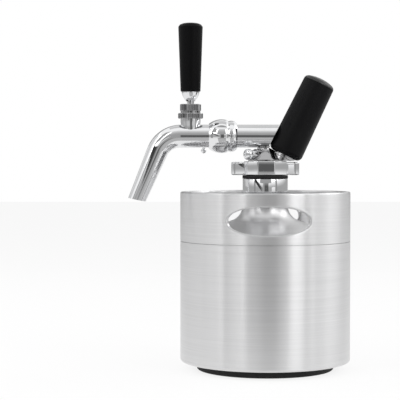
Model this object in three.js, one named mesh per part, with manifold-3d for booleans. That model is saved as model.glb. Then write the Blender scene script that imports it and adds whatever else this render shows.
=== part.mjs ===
// A mini keg with a tap and a gas charger, for making and pouring nitro cold brew coffee.
// Millimetres, +Z up. The origin is the centre of the rubber base pad's flat underside.
// The tap points to -X, the charger leans to +X, and the two finger holes face -Y and +Y.
// Threads are plain rings on the male part, inside a plain bore on the female part.

import * as THREE from "three";
import { mergeVertices } from "three/addons/utils/BufferGeometryUtils.js";
import Module from "manifold-3d";

const wasm = await Module();
wasm.setup();

// Driving dimensions: fits
const clearance = 0.3; // gap between neighbouring pieces
const overrun = 4; // how far each cutter runs past what it cuts

// Driving dimensions: keg
const kegRadius = 92;
const sheet = 1.2; // thickness of the pressed steel
const seamHeight = 139.4; // lower edge of the carrying collar
const carryCollarHeight = 52.9; // from its lower edge to its rolled rim
const seamGap = 0.6;
const padThickness = 8.7;
const padRadius = 74.1;
const padChamfer = 1.2;
const gripGrooveRadius = 62;
const gripGrooveWidth = 4;
const gripGrooveDepth = 1;
const footCorner = 3.2; // rounding under the vessel wall
const dishRadius = 58; // raised middle of the vessel's bottom
const dishDepth = 3.5;
const dishSlope = 6;
const rimRoll = 1.6; // radius of the rolled rim
const skirtLap = 8; // how far the shoulder reaches down inside the vessel
const skirtRise = 2.6; // how far it stands up inside the collar
const shoulderRise = 8; // how full the shoulder's outer turn is
const shoulderReach = 24; // how far the neck's slope runs outwards
const throatRise = 38.6; // from the collar's lower edge to where the shoulder's fillet meets the neck
const throatFillet = 18;
const throatTurn = 75; // degrees from upright to the shoulder's slope

// Driving dimensions: finger holes
const holeHalfWidth = 43.3;
const holeHalfHeight = 14.6;
const holeRoom = 7; // sheet left between the shoulder's edge and the holes
const holeSquareness = 2.3; // exponent of the rounded outline
const holeLip = 1.4; // thickness of the turned edge
const holeLipDepth = 4.5; // how far the edge turns inwards

// Driving dimensions: neck, seals and winged ring
const sealSeatWidth = 5.3; // step from the neck's thread out to its wall
const neckLength = 28.1; // from the throat to the seal's seat
const neckThreadLength = 12.4; // from there to the mouth
const neckSpigotDepth = 5;
const threadRadius = 19.1;
const threadDepth = 0.8;
const threadPitch = 3.2;
const threadTurns = 2;
const neckWall = 2.7; // between the thread and the mouth
const mouthDepth = 15; // length of the narrow bore under the rim
const outerSealHeight = 3.6;
const outerSealProud = 0.25;
const gasketHeight = 1.7;
const ringWall = 2.6; // of the winged ring, at its flats
const ringLip = 2; // thickness of the ring's inner lip
const ringChamfer = 0.9;
const wingSpan = 73.7;
const wingWidth = 12.5;
const wingInset = 0.8; // how far the wings stay below the ring's top face

// Driving dimensions: head
const plugFlange = 2.2;
const plugNeckRadius = 16.6;
const plugDepth = 6; // plug below its flange
const plugStubRadius = 9;
const plugStubHeight = 6;
const plugBossRadius = 7.5;
const plugBossHeight = 6.5;
const galleryDepth = 1.1; // ring groove that shares the gas
const galleryWidth = 2.4;
const gasBore = 1.2;
const liquidBore = 3.4;
const headBaseRadius = 18.6;
const headBaseEdge = 1.6;
const headConeShare = 0.93; // of the way from the head's edge up to the shank
const postRadius = 8.6;
const saddleShare = 0.83; // of the shank's radius that the post's top stays below its middle
const dipTubeBore = 3;
const dipTubeWall = 1;
const dipTubeGrip = 14; // length held in the plug
const dipTubeFloorGap = 4;
const dipTubeMitre = 3; // height of the slanted cut at its foot
const oringThickness = 1.6;

// Driving dimensions: shank, faucet and coupling nut
const shankRise = 27; // middle of the shank and the faucet, above the winged ring
const shankRadius = 12.45;
const shankBore = 5.5;
const shankMouthWall = 4.25; // round the wider bore at its mouth
const shankMouthDepth = 14;
const shankThreadStep = 1.25; // how far the thread's core lies under the shank's face
const shankThreadDepth = 0.5;
const shankEndPast = 3.5; // bore past the post's middle
const nutLeft = -61;
const nutLength = 30.4;
const nutWall = 5.95; // nut past the shank
const nutNose = 4.5; // wall of the nut in front of the faucet's flange
const nutNotches = 6;
const nutNotchRadius = 4.2;
const nutNotchDepth = 1.1;
const faucetFlange = 3.6;
const faucetFlangeStep = 1.95; // flange past the barrel
const couplingWasher = 1.6;
const faucetWall = 2.45;
const seatLap = 1.9; // how far the valve's seal overlaps the seat
const seatThickness = 2.2;
const seatBack = 4.6; // narrow bore between the seat and the flange's face
const bendRunout = 11.35; // straight barrel between the lever's axis and the bend
const bendRadius = 26.6; // of the axis
const bendTurn = 67; // degrees
const spoutLength = 57;
const spoutTipRadius = 9.6;
const spoutTipBore = 7.7;
const spoutCutTilt = 12; // degrees from level
const restrictorInset = 18;
const restrictorThickness = 2.4;
const restrictorHoles = 5;
const restrictorHoleRadius = 0.9;

// Driving dimensions: tap lever and its housing
const leverReach = 19.95; // lever's axis in front of the nut
const bossRise = 18.8; // top of the boss above the shank's middle
const bossLedge = 0.9; // flat ring round the boss's spigot
const bossTaper = 0.5; // how much slimmer its foot is
const bossSpigotHeight = 5.6;
const bossWall = 1.7;
const ballRoom = 1.2; // between the ball and the bore
const washerStep = 0.5; // step that carries the ball washer
const pivotRise = 4.9; // middle of the ball above the boss
const ballRadius = 7;
const washerThickness = 1.6;
const frictionThickness = 2.3;
const seatShare = 0.88; // where the ball rests on its washers, as a share of its radius
const leverTilt = 22; // degrees, open
const lockCollarRadius = 13.5;
const lockCollarHeight = 5.9;
const bonnetGroove = 2.2;
const bonnetGrooveRadius = 10.7;
const bonnetRadius = 11.4;
const bonnetHeight = 7.6;
const leverRadius = 3.8;
const leverArmRadius = 2.2;
const leverTipRadius = 2.9;
const leverStudRadius = 3.3;
const leverNeckLength = 2.9; // bare shaft between bonnet and ferrule
const ferruleHeight = 10.3;
const ferruleFootRadius = 6.2;
const ferruleTopRadius = 9.6;
const handleFootRadius = 10.8;
const handleTopRadius = 13.25;
const handleLength = 70.7;
const handleCrown = 3.6;
const insertLength = 17;
const insertWall = 1.8;

// Driving dimensions: valve
const stemRadius = 2.5;
const stemHeadLeft = 10; // head of the stem, left and right of the lever
const stemHeadRight = 4;
const stemFins = 4;
const stemFinWidth = 4.4;
const stemCoreRadius = 5.4;
const valveSealRoom = 0.9; // round the seal
const valveSealLength = 2.8;

// Driving dimensions: flow control
const flowNutGap = 0.5; // between the flow control's boss and the coupling nut
const flowShaftRadius = 2;
const flowBossRadius = 4.2;
const flowBossReach = 1.4; // boss past the faucet's side
const flowVaneHalfWidth = 1.7;
const flowVaneThickness = 1.3;
const flowArmThickness = 3.2;
const flowArmLength = 15.7;
const flowArmLean = 4; // degrees from plumb, towards the spout
const flowArmRadius = 1.5;
const flowHubRadius = 3.3;
const flowKnobRadius = 2.9;

// Driving dimensions: relief valve
const reliefSkirt = 0.9; // metal of the head under the relief valve's boss
const reliefTurn = 40; // degrees from -X towards -Y
const reliefBossWall = 1.4;
const reliefBossLength = 6; // past the head plug's stub
const reliefBarrelWall = 1.5;
const reliefBarrelBore = 3.1;
const reliefBarrelLength = 12;
const reliefSocket = 5.4; // length of the barrel inside the boss
const reliefEndWall = 1.6;
const reliefPinRadius = 1.1;
const reliefDiscRoom = 0.4; // between the disc and the barrel's bore
const reliefDiscThickness = 1.2;
const reliefSealThickness = 1;
const reliefTravel = 2.4;
const reliefKnobRadius = 5.8;
const reliefKnobLength = 6.4;
const springWire = 0.32; // radius
const springRadius = 2.1;
const springTurns = 5;

// Driving dimensions: gas charger, along its own leaning axis
const chargerX = 20.5; // foot of the sleeve on the axis
const chargerRise = 6.8; // above the winged ring
const chargerLean = 26; // degrees from plumb
const sleeveLength = 91.4;
const sleeveFootWall = 4.6; // sleeve past the cup
const sleeveTaper = 1.6; // how much slimmer its top is
const sleeveFootRound = 6.2;
const sleeveCrown = 5.9;
const sleeveWall = 3; // closed end above the cup
const sleeveLip = 2.4;
const cupSideWall = 4.4;
const cupWall = 3; // closed end
const cartridgeRoom = 0.6; // between the cartridge and the cup
const spigotRadius = 11.6; // male thread under the cup
const spigotThreadDepth = 0.5;
const spigotHeight = 12.5;
const spigotBore = 9.7;
const spigotFloor = 2;
const collarRadius = 13.2; // bright collar under the sleeve
const collarHeight = 2.8;
const stubRadius = 11.4;
const pinBaseRadius = 4.2;
const pinBaseHeight = 3.2;
const pinNeedleRadius = 1;
const pinNeedleLength = 6.5;
const pinBore = 0.45;
const chargerSealThickness = 1.8;
const chargerSealRadius = 5.2;
const cartridgeRadius = 9.3;
const cartridgeLength = 66;
const cartridgeWall = 1.4;
const cartridgeNeckRadius = 4.3;
const cartridgeNeckLength = 5.5;
const cartridgeShoulder = 8;
const sleeveToShank = 1; // gap between the sleeve and the shank's end

// How finely round shapes are faceted
const kegSides = 40;
const turnedSides = 24;
const smallSides = 14;

// Radii that follow from the sizes above
const neckRadius = threadRadius + sealSeatWidth;
const mouthRadius = threadRadius - neckWall;
const threadCrest = threadRadius + threadDepth;
const ringBore = threadCrest + clearance;
const ringAcrossFlats = 2 * (ringBore + ringWall);
const dipTubeRadius = dipTubeBore + dipTubeWall;
const shankMouthBore = shankRadius - shankMouthWall;
const valveSealRadius = shankMouthBore - valveSealRoom;
const seatBore = valveSealRadius - seatLap;
const shankThreadRadius = shankRadius - shankThreadStep;
const nutRadius = shankRadius + nutWall;
const faucetFlangeRadius = shankRadius + faucetFlangeStep;
const faucetBore = shankRadius - faucetWall;
const bossBore = ballRadius + ballRoom;
const bossSpigotRadius = bossBore + bossWall;
const bossRadius = bossSpigotRadius + bossLedge;
const bossFootRadius = bossRadius - bossTaper;
const reliefBarrelRadius = reliefBarrelBore + reliefBarrelWall;
const reliefBossRadius = reliefBarrelRadius + reliefBossWall;
const reliefBossReach = plugStubRadius + reliefBossLength;
const reliefDiscRadius = reliefBarrelBore - reliefDiscRoom;
const cupBore = cartridgeRadius + cartridgeRoom;
const cupRadius = cupBore + cupSideWall;
const sleeveFootRadius = cupRadius + sleeveFootWall;
const sleeveTopRadius = sleeveFootRadius - sleeveTaper;

// Levels that follow from the sizes above
const rimHeight = seamHeight + carryCollarHeight;
const throatHeight = seamHeight + throatRise;
const holeHeight = seamHeight + skirtRise + holeRoom + holeHalfHeight;
const neckShoulder = throatHeight + neckLength;
const neckTop = neckShoulder + neckThreadLength;
const ringTop = neckTop + clearance + gasketHeight + clearance + plugFlange + clearance + ringLip;
const outerSealTop = neckShoulder + clearance + outerSealHeight;
const ringBottom = outerSealTop + clearance;
const ringHeight = ringTop - ringBottom;
const headBottom = ringTop + clearance;
const shankHeight = ringTop + shankRise;
const bossTopHeight = shankHeight + bossRise;
const pivotHeight = bossTopHeight + pivotRise;
const reliefHeight = headBottom + reliefSkirt + reliefBossRadius;
const chargerHeight = ringTop + chargerRise;
const leverX = nutLeft - leverReach;
const bendStart = leverX - bendRunout;
const flangeBottom = neckTop + clearance + gasketHeight + clearance;
const flangeTop = flangeBottom + plugFlange;
const vesselFloor = padThickness + dishDepth + sheet;
const flangeFace = nutLeft + nutNose + clearance; // left face of the faucet's flange
const faucetRear = flangeFace + faucetFlange;
const shankLeft = faucetRear + couplingWasher + clearance + clearance;
const nutRight = nutLeft + nutLength;
const flowX = nutLeft - flowNutGap - flowBossRadius;
const bonnetBottom = bossTopHeight + clearance;
const bonnetTop = bonnetBottom + lockCollarHeight + bonnetGroove + bonnetHeight;
const ferruleBottom = bonnetTop + leverNeckLength;
const handleBottom = ferruleBottom + ferruleHeight + clearance;
const seatRadius = ballRadius * seatShare;
const seatDrop = Math.sqrt(ballRadius ** 2 - seatRadius ** 2);
const ballWasherTop = pivotHeight - seatDrop - clearance;
const ballWasherBottom = ballWasherTop - washerThickness;
const frictionBottom = pivotHeight + seatDrop + clearance;
const frictionTop = frictionBottom + frictionThickness;
const roofUnder = frictionTop + clearance;
const leverTan = Math.tan(THREE.MathUtils.degToRad(leverTilt));
const leverCos = Math.cos(THREE.MathUtils.degToRad(leverTilt));

// Helpers: solids from three.js geometry, and back
function solid(geometry) {
  const plain = geometry.clone();
  plain.deleteAttribute("normal");
  plain.deleteAttribute("uv");
  const merged = mergeVertices(plain, 1e-4);
  return new wasm.Manifold(
    new wasm.Mesh({
      numProp: 3,
      vertProperties: merged.attributes.position.array,
      triVerts: new Uint32Array(merged.index.array),
    }),
  );
}

function geometryOf(body) {
  const mesh = body.getMesh();
  const geometry = new THREE.BufferGeometry();
  geometry.setAttribute("position", new THREE.BufferAttribute(mesh.vertProperties, 3));
  geometry.setIndex(new THREE.BufferAttribute(mesh.triVerts, 1));
  geometry.computeVertexNormals();
  return geometry;
}

// A turned piece about Z, from its [radius, height] outline. An outline off the axis is closed.
function turned(outline, sides = turnedSides) {
  const points = outline.map(([r, z]) => new THREE.Vector2(r, z));
  const last = points[points.length - 1];
  const onAxis = points[0].x === 0 && last.x === 0;
  if (THREE.ShapeUtils.isClockWise(points)) points.reverse();
  if (!onAxis) points.push(points[0].clone());
  return new THREE.LatheGeometry(points, sides).rotateX(Math.PI / 2);
}

function rod(radius, bottom, top, sides = smallSides) {
  return turned([[0, bottom], [radius, bottom], [radius, top], [0, top]], sides);
}

function arc(centreR, centreZ, radius, from, to, steps) {
  const points = [];
  for (let i = 0; i <= steps; i += 1) {
    const angle = THREE.MathUtils.degToRad(from + ((to - from) * i) / steps);
    points.push([centreR + radius * Math.cos(angle), centreZ + radius * Math.sin(angle)]);
  }
  return points;
}

// A line of points moved sideways, for the other face of a sheet.
function shifted(line, distance) {
  return line.map(([r, z], i) => {
    const [beforeR, beforeZ] = line[Math.max(i - 1, 0)];
    const [afterR, afterZ] = line[Math.min(i + 1, line.length - 1)];
    const length = Math.hypot(afterR - beforeR, afterZ - beforeZ);
    const across = [(afterZ - beforeZ) / length, (beforeR - afterR) / length];
    return [r - across[0] * distance, z - across[1] * distance];
  });
}

// Ring-shaped thread crests up a male thread, as outline points from bottom to top.
function crests(radius, depth, pitch, bottom, count) {
  const points = [];
  for (let i = 0; i < count; i += 1) {
    const foot = bottom + pitch * i;
    points.push([radius, foot], [radius + depth, foot + pitch / 4]);
    points.push([radius + depth, foot + pitch / 2], [radius, foot + (pitch * 3) / 4]);
  }
  return points;
}

const material = (color, metalness, roughness) =>
  new THREE.MeshStandardMaterial({ color, metalness, roughness });
const finishes = {
  brushed: material(0xc9cbcc, 1, 0.38),
  chrome: material(0xe6e8ea, 1, 0.12),
  steel: material(0xb9bcbe, 1, 0.3),
  brass: material(0xc9a35a, 1, 0.35),
  black: material(0x161616, 0, 0.5),
  rubber: material(0x101010, 0, 0.85),
  nylon: material(0xe4e0d2, 0, 0.6),
  aluminium: material(0xb4b6b8, 1, 0.4),
};

const model = new THREE.Group();

function add(name, geometry, finish, parent = model) {
  const mesh = new THREE.Mesh(geometry, finishes[finish]);
  mesh.name = name;
  parent.add(mesh);
  return mesh;
}

// Keg: base pad, vessel, shoulder and carrying collar
function basePad() {
  const top = padThickness - clearance;
  const outline = [
    [0, 0],
    [gripGrooveRadius - gripGrooveWidth, 0],
    [gripGrooveRadius - gripGrooveWidth, gripGrooveDepth],
    [gripGrooveRadius, gripGrooveDepth],
    [gripGrooveRadius, 0],
    [padRadius - padChamfer, 0],
    [padRadius, padChamfer],
    [padRadius, top],
    [0, top],
  ];
  add("base_pad", turned(outline, kegSides), "rubber");
}

function kegVessel() {
  const line = [
    [0, padThickness + dishDepth],
    [dishRadius, padThickness + dishDepth],
    [dishRadius + dishSlope, padThickness],
    ...arc(kegRadius - footCorner, padThickness + footCorner, footCorner, -90, 0, 4),
    [kegRadius, seamHeight - seamGap],
  ];
  const inner = [
    [kegRadius - sheet, seamHeight - seamGap],
    ...arc(kegRadius - footCorner, padThickness + footCorner, footCorner - sheet, 0, -90, 2),
    [dishRadius + dishSlope - sheet / 2, padThickness + sheet],
    [dishRadius - sheet / 2, vesselFloor],
    [0, vesselFloor],
  ];
  add("keg_body", turned([...line, ...inner], kegSides), "brushed");
}

// The shoulder's outer face, from the skirt up to the neck, in more or fewer steps
function shoulderLine(slopeSteps, filletSteps) {
  const skirt = kegRadius - sheet - clearance;
  const turn = THREE.MathUtils.degToRad(throatTurn);
  const filletCentre = neckRadius + throatFillet;
  const fillet = arc(filletCentre, throatHeight, throatFillet, 180 + throatTurn, 180, filletSteps);
  const [footR, footZ] = fillet[0];
  const slope = new THREE.CubicBezierCurve(
    new THREE.Vector2(skirt, seamHeight + skirtRise),
    new THREE.Vector2(skirt, seamHeight + skirtRise + shoulderRise),
    new THREE.Vector2(
      footR + shoulderReach * Math.sin(turn),
      footZ - shoulderReach * Math.cos(turn),
    ),
    new THREE.Vector2(footR, footZ),
  );
  const slopePoints = slope.getPoints(slopeSteps).map((point) => [point.x, point.y]);
  return [[skirt, seamHeight - skirtLap], ...slopePoints, ...fillet.slice(1)];
}

function kegShoulder() {
  const outside = shoulderLine(8, 5);
  const inside = shifted(shoulderLine(5, 3), sheet).reverse();
  add("keg_shoulder", turned([...outside, ...inside], kegSides), "chrome");
}

// A rounded oblong prism along Y: the shape of a finger hole, grown by margin.
function holePrism(margin, from, to) {
  const shape = new THREE.Shape();
  const steps = 28;
  const power = 2 / holeSquareness;
  for (let i = 0; i < steps; i += 1) {
    const angle = (2 * Math.PI * i) / steps;
    const c = Math.cos(angle);
    const s = Math.sin(angle);
    const x = (holeHalfWidth + margin) * Math.sign(c) * Math.abs(c) ** power;
    const z = (holeHalfHeight + margin) * Math.sign(s) * Math.abs(s) ** power;
    if (i === 0) shape.moveTo(x, z);
    else shape.lineTo(x, z);
  }
  const prism = new THREE.ExtrudeGeometry(shape, { depth: to - from, bevelEnabled: false });
  return prism.rotateX(Math.PI / 2).translate(0, to, holeHeight);
}

function carryCollar() {
  const inside = kegRadius - sheet;
  const wall = [
    [inside, seamHeight],
    [kegRadius, seamHeight],
    ...arc(kegRadius - rimRoll, rimHeight - rimRoll, rimRoll, 0, 180, 6),
    [kegRadius - 2 * rimRoll, rimHeight - 2 * rimRoll],
    [inside, rimHeight - 2 * rimRoll - (2 * rimRoll - sheet)],
  ];
  const edgeBand = turned(
    [
      [kegRadius - holeLipDepth, holeHeight - holeHalfHeight - overrun],
      [kegRadius, holeHeight - holeHalfHeight - overrun],
      [kegRadius, holeHeight + holeHalfHeight + overrun],
      [kegRadius - holeLipDepth, holeHeight + holeHalfHeight + overrun],
    ],
    kegSides,
  );
  const reach = kegRadius + overrun;
  const lips = solid(edgeBand).intersect(solid(holePrism(holeLip, -reach, reach)));
  const holes = solid(holePrism(0, -reach, reach));
  const collar = solid(turned(wall, kegSides)).add(lips).subtract(holes);
  add("carry_collar", geometryOf(collar), "brushed");
}

// Neck: threaded ring on the shoulder, with its outer seal
function neckRing() {
  const wideBore = threadRadius + threadDepth / 2;
  const spigot = neckRadius - sheet - clearance;
  const foot = throatHeight + clearance;
  const firstCrest = outerSealTop + clearance;
  const outline = [
    [wideBore, foot - neckSpigotDepth],
    [spigot, foot - neckSpigotDepth],
    [spigot, foot],
    [neckRadius, foot],
    [neckRadius, neckShoulder],
    [threadRadius, neckShoulder],
    ...crests(threadRadius, threadDepth, threadPitch, firstCrest, threadTurns),
    [threadRadius, neckTop],
    [mouthRadius, neckTop],
    [mouthRadius, neckTop - mouthDepth],
    [wideBore, neckTop - mouthDepth - (wideBore - mouthRadius)],
  ];
  add("neck_ring", turned(outline), "chrome");
}

function outerSeal() {
  const bottom = neckShoulder + clearance;
  const top = outerSealTop;
  const outer = neckRadius + outerSealProud;
  const edge = outerSealProud;
  const outline = [
    [ringBore, bottom],
    [outer - edge, bottom],
    [outer, bottom + edge],
    [outer, top - edge],
    [outer - edge, top],
    [ringBore, top],
  ];
  add("outer_seal", turned(outline), "rubber");
}

// Winged ring that clamps the head onto the neck
function wingedRing() {
  const corner = ringAcrossFlats / 2 / Math.cos(Math.PI / 8);
  const edge = corner - ringChamfer;
  const octagon = turned(
    [
      [0, ringBottom],
      [edge, ringBottom],
      [corner, ringBottom + ringChamfer],
      [corner, ringTop - ringChamfer],
      [edge, ringTop],
      [0, ringTop],
    ],
    8,
  ).rotateZ(Math.PI / 8);
  const half = wingWidth / 2;
  const centre = wingSpan / 2 - half;
  const bar = new THREE.Shape();
  bar.moveTo(-centre, -half + ringChamfer);
  bar.lineTo(centre, -half + ringChamfer);
  bar.absarc(centre, 0, half - ringChamfer, -Math.PI / 2, Math.PI / 2, false);
  bar.lineTo(-centre, half - ringChamfer);
  bar.absarc(-centre, 0, half - ringChamfer, Math.PI / 2, (3 * Math.PI) / 2, false);
  const wings = new THREE.ExtrudeGeometry(bar, {
    depth: ringHeight - wingInset - 2 * ringChamfer,
    bevelThickness: ringChamfer,
    bevelSize: ringChamfer,
    bevelSegments: 1,
    curveSegments: 6,
  }).translate(0, 0, ringBottom + ringChamfer);
  const lipRadius = plugNeckRadius + clearance;
  const bore = turned([
    [0, ringBottom - overrun],
    [ringBore, ringBottom - overrun],
    [ringBore, ringTop - ringLip],
    [lipRadius, ringTop - ringLip],
    [lipRadius, ringTop + overrun],
    [0, ringTop + overrun],
  ]);
  const ring = solid(octagon).add(solid(wings)).subtract(solid(bore));
  add("winged_ring", geometryOf(ring), "chrome");
}

// Head: plug with its gasket and dip tube, and the casting on top
function mouthGasket() {
  const bottom = neckTop + clearance;
  const top = bottom + gasketHeight;
  const inner = mouthRadius + clearance;
  const outer = threadCrest - clearance;
  add("mouth_gasket", turned([[inner, bottom], [outer, bottom], [outer, top], [inner, top]]), "rubber");
}

const plugBottom = flangeBottom - plugDepth;
const plugFoot = plugBottom - plugBossHeight;
const tubeTop = plugFoot + dipTubeGrip;
const galleryRadius = (plugStubRadius + plugNeckRadius) / 2;

function headPlug() {
  const flange = ringBore - clearance;
  const body = mouthRadius - clearance;
  const socket = dipTubeRadius + clearance;
  const grooveIn = galleryRadius - galleryWidth / 2;
  const grooveOut = galleryRadius + galleryWidth / 2;
  const stubTop = ringTop + plugStubHeight;
  const outline = [
    [socket, plugFoot],
    [plugBossRadius, plugFoot],
    [plugBossRadius, plugBottom],
    [body, plugBottom],
    [body, flangeBottom],
    [flange, flangeBottom],
    [flange, flangeTop],
    [plugNeckRadius, flangeTop],
    [plugNeckRadius, ringTop],
    [grooveOut, ringTop],
    [grooveOut, ringTop - galleryDepth],
    [grooveIn, ringTop - galleryDepth],
    [grooveIn, ringTop],
    [plugStubRadius, ringTop],
    [plugStubRadius, stubTop],
    [liquidBore, stubTop],
    [liquidBore, tubeTop + clearance],
    [socket, tubeTop + clearance],
  ];
  const gasHole = rod(gasBore, plugBottom - overrun, ringTop + overrun).translate(galleryRadius, 0, 0);
  const plug = solid(turned(outline)).subtract(solid(gasHole));
  add("head_plug", geometryOf(plug), "steel");
}

function dipTube() {
  const foot = vesselFloor + dipTubeFloorGap;
  const outline = [
    [dipTubeBore, foot - overrun],
    [dipTubeRadius, foot - overrun],
    [dipTubeRadius, tubeTop],
    [dipTubeBore, tubeTop],
  ];
  const slope = Math.atan2(dipTubeMitre, 2 * dipTubeRadius);
  const size = 2 * dipTubeRadius + 2 * overrun;
  const cutter = new THREE.BoxGeometry(2 * size, size, size)
    .translate(0, 0, -size / 2)
    .rotateY(slope)
    .translate(0, 0, foot + dipTubeMitre / 2);
  const tube = solid(turned(outline, smallSides)).subtract(solid(cutter));
  add("dip_tube", geometryOf(tube), "steel");
}

function dipTubeRing() {
  const inner = dipTubeRadius + clearance;
  const top = plugFoot - clearance;
  const half = oringThickness / 2;
  const outline = arc(inner + half, top - half, half, 0, 360, 8).slice(1);
  add("dip_tube_oring", turned(outline, smallSides), "rubber");
}

// The charger's leaning frame: its own +Z runs up the charger's axis.
const charger = new THREE.Group();
charger.position.set(chargerX, 0, chargerHeight);
charger.rotation.y = THREE.MathUtils.degToRad(chargerLean);
charger.updateMatrix();
model.add(charger);

// The relief valve's frame: its own +Z runs outwards from the post's middle.
const relief = new THREE.Group();
relief.position.set(0, 0, reliefHeight);
relief.rotation.order = "ZYX";
relief.rotation.y = -Math.PI / 2;
relief.rotation.z = THREE.MathUtils.degToRad(reliefTurn);
relief.updateMatrix();
model.add(relief);

const along = (geometry, frame) => geometry.applyMatrix4(frame.matrix);

// Room for the sleeve and the shank, cut from what stands beside them
function sleeveRoom() {
  const room = rod(sleeveFootRadius + sleeveToShank, -clearance, sleeveLength, turnedSides);
  return solid(along(room, charger));
}

function shankRoom() {
  const reach = kegRadius;
  return solid(rod(shankRadius + clearance, -reach, reach, turnedSides)
    .rotateY(Math.PI / 2)
    .translate(0, 0, shankHeight));
}

function headCasting() {
  const reach = kegRadius;
  const bottom = headBottom;
  const coneFoot = bottom + headBaseEdge;
  const coneTop = coneFoot + headConeShare * (shankHeight - shankRadius - clearance - coneFoot);
  const postTop = shankHeight - saddleShare * shankRadius;
  const post = turned([
    [0, bottom],
    [headBaseRadius, bottom],
    [headBaseRadius, coneFoot],
    [postRadius, coneTop],
    [postRadius, postTop],
    [0, postTop],
  ]);
  const boss = along(rod(reliefBossRadius, 0, reliefBossReach, turnedSides), relief);
  const spigotTop = spigotHeight;
  const stub = along(
    turned([
      [0, -reach / 2],
      [stubRadius, -reach / 2],
      [stubRadius, -collarHeight - clearance],
      [collarRadius, -collarHeight],
      [collarRadius, -2 * clearance],
      [spigotRadius, -2 * clearance],
      ...crests(spigotRadius, spigotThreadDepth, threadPitch, sleeveLip + clearance, threadTurns),
      [spigotRadius, spigotTop],
      [spigotBore, spigotTop],
      [spigotBore, spigotFloor],
      [0, spigotFloor],
    ]),
    charger,
  );
  const below = new THREE.BoxGeometry(2 * reach, 2 * reach, reach).translate(0, 0, bottom - reach / 2);
  const pocketRadius = plugStubRadius + clearance;
  const pocketTop = ringTop + plugStubHeight + clearance;
  const plugPocket = rod(pocketRadius, bottom - overrun, pocketTop, turnedSides);
  const liquidPath = rod(liquidBore, bottom, shankHeight);
  const pinPocketFloor = spigotFloor - pinBaseHeight;
  const pinPocket = along(rod(pinBaseRadius + clearance, pinPocketFloor, spigotFloor + overrun), charger);
  const reliefPocket = along(
    rod(reliefBarrelRadius + clearance, reliefBossReach - reliefSocket, reliefBossReach + overrun),
    relief,
  );
  const reliefPath = along(rod(gasBore, galleryRadius - gasBore, reliefBossReach), relief);
  const reliefDrop = rod(gasBore, bottom - overrun, reliefHeight).translate(
    -galleryRadius * Math.cos(THREE.MathUtils.degToRad(reliefTurn)),
    -galleryRadius * Math.sin(THREE.MathUtils.degToRad(reliefTurn)),
    0,
  );
  const casting = solid(post)
    .add(solid(boss))
    .subtract(sleeveRoom())
    .add(solid(stub))
    .subtract(solid(below))
    .subtract(shankRoom())
    .subtract(solid(plugPocket))
    .subtract(solid(liquidPath))
    .subtract(solid(pinPocket))
    .subtract(solid(gasDrilling(pinPocketFloor)))
    .subtract(solid(reliefPocket))
    .subtract(solid(reliefPath))
    .subtract(solid(reliefDrop));
  add("head_casting", geometryOf(casting), "chrome");
}

// The drilling from the pin's pocket down to the plug's gallery
function gasDrilling(pocketFloor) {
  const from = new THREE.Vector3(0, 0, pocketFloor + gasBore).applyMatrix4(charger.matrix);
  const to = new THREE.Vector3(galleryRadius, 0, headBottom);
  const run = to.clone().sub(from);
  const length = run.length();
  const drilling = rod(gasBore, 0, length + overrun / 2);
  const turn = new THREE.Quaternion().setFromUnitVectors(new THREE.Vector3(0, 0, 1), run.normalize());
  return drilling.applyQuaternion(turn).translate(from.x, from.y, from.z);
}

// Shank: a tube along X from the coupling nut to the head, mitred beside the charger
function shank() {
  const shoulder = nutRight + clearance;
  const right = kegRadius / 2;
  const threadLength = shoulder - shankLeft;
  const pitch = threadLength / 5;
  const outline = [
    [0, right],
    [shankRadius, right],
    [shankRadius, shoulder],
    [shankThreadRadius, shoulder],
    ...crests(shankThreadRadius, shankThreadDepth, pitch, shankLeft + pitch / 2, 4).reverse(),
    [shankThreadRadius, shankLeft],
    [shankMouthBore, shankLeft],
    [shankMouthBore, shankLeft + shankMouthDepth],
    [shankBore, shankLeft + shankMouthDepth],
    [shankBore, shankEndPast],
    [0, shankEndPast],
  ];
  const tube = turned(outline).rotateY(Math.PI / 2).translate(0, 0, shankHeight);
  const reach = kegRadius;
  const mitre = along(
    new THREE.BoxGeometry(reach, reach, 2 * reach).translate(
      reach / 2 - sleeveFootRadius - sleeveToShank,
      0,
      0,
    ),
    charger,
  );
  const rise = rod(liquidBore, shankHeight - shankRadius - overrun, shankHeight);
  const body = solid(tube).subtract(solid(mitre)).subtract(solid(rise));
  add("shank", geometryOf(body), "chrome");
}

function couplingWasherRing() {
  const left = faucetRear + clearance;
  const right = left + couplingWasher;
  const inner = shankMouthBore + clearance;
  const outer = shankThreadRadius + shankThreadDepth;
  const ring = turned([[inner, left], [outer, left], [outer, right], [inner, right]]);
  add("coupling_washer", ring.rotateY(Math.PI / 2).translate(0, 0, shankHeight), "rubber");
}

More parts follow.
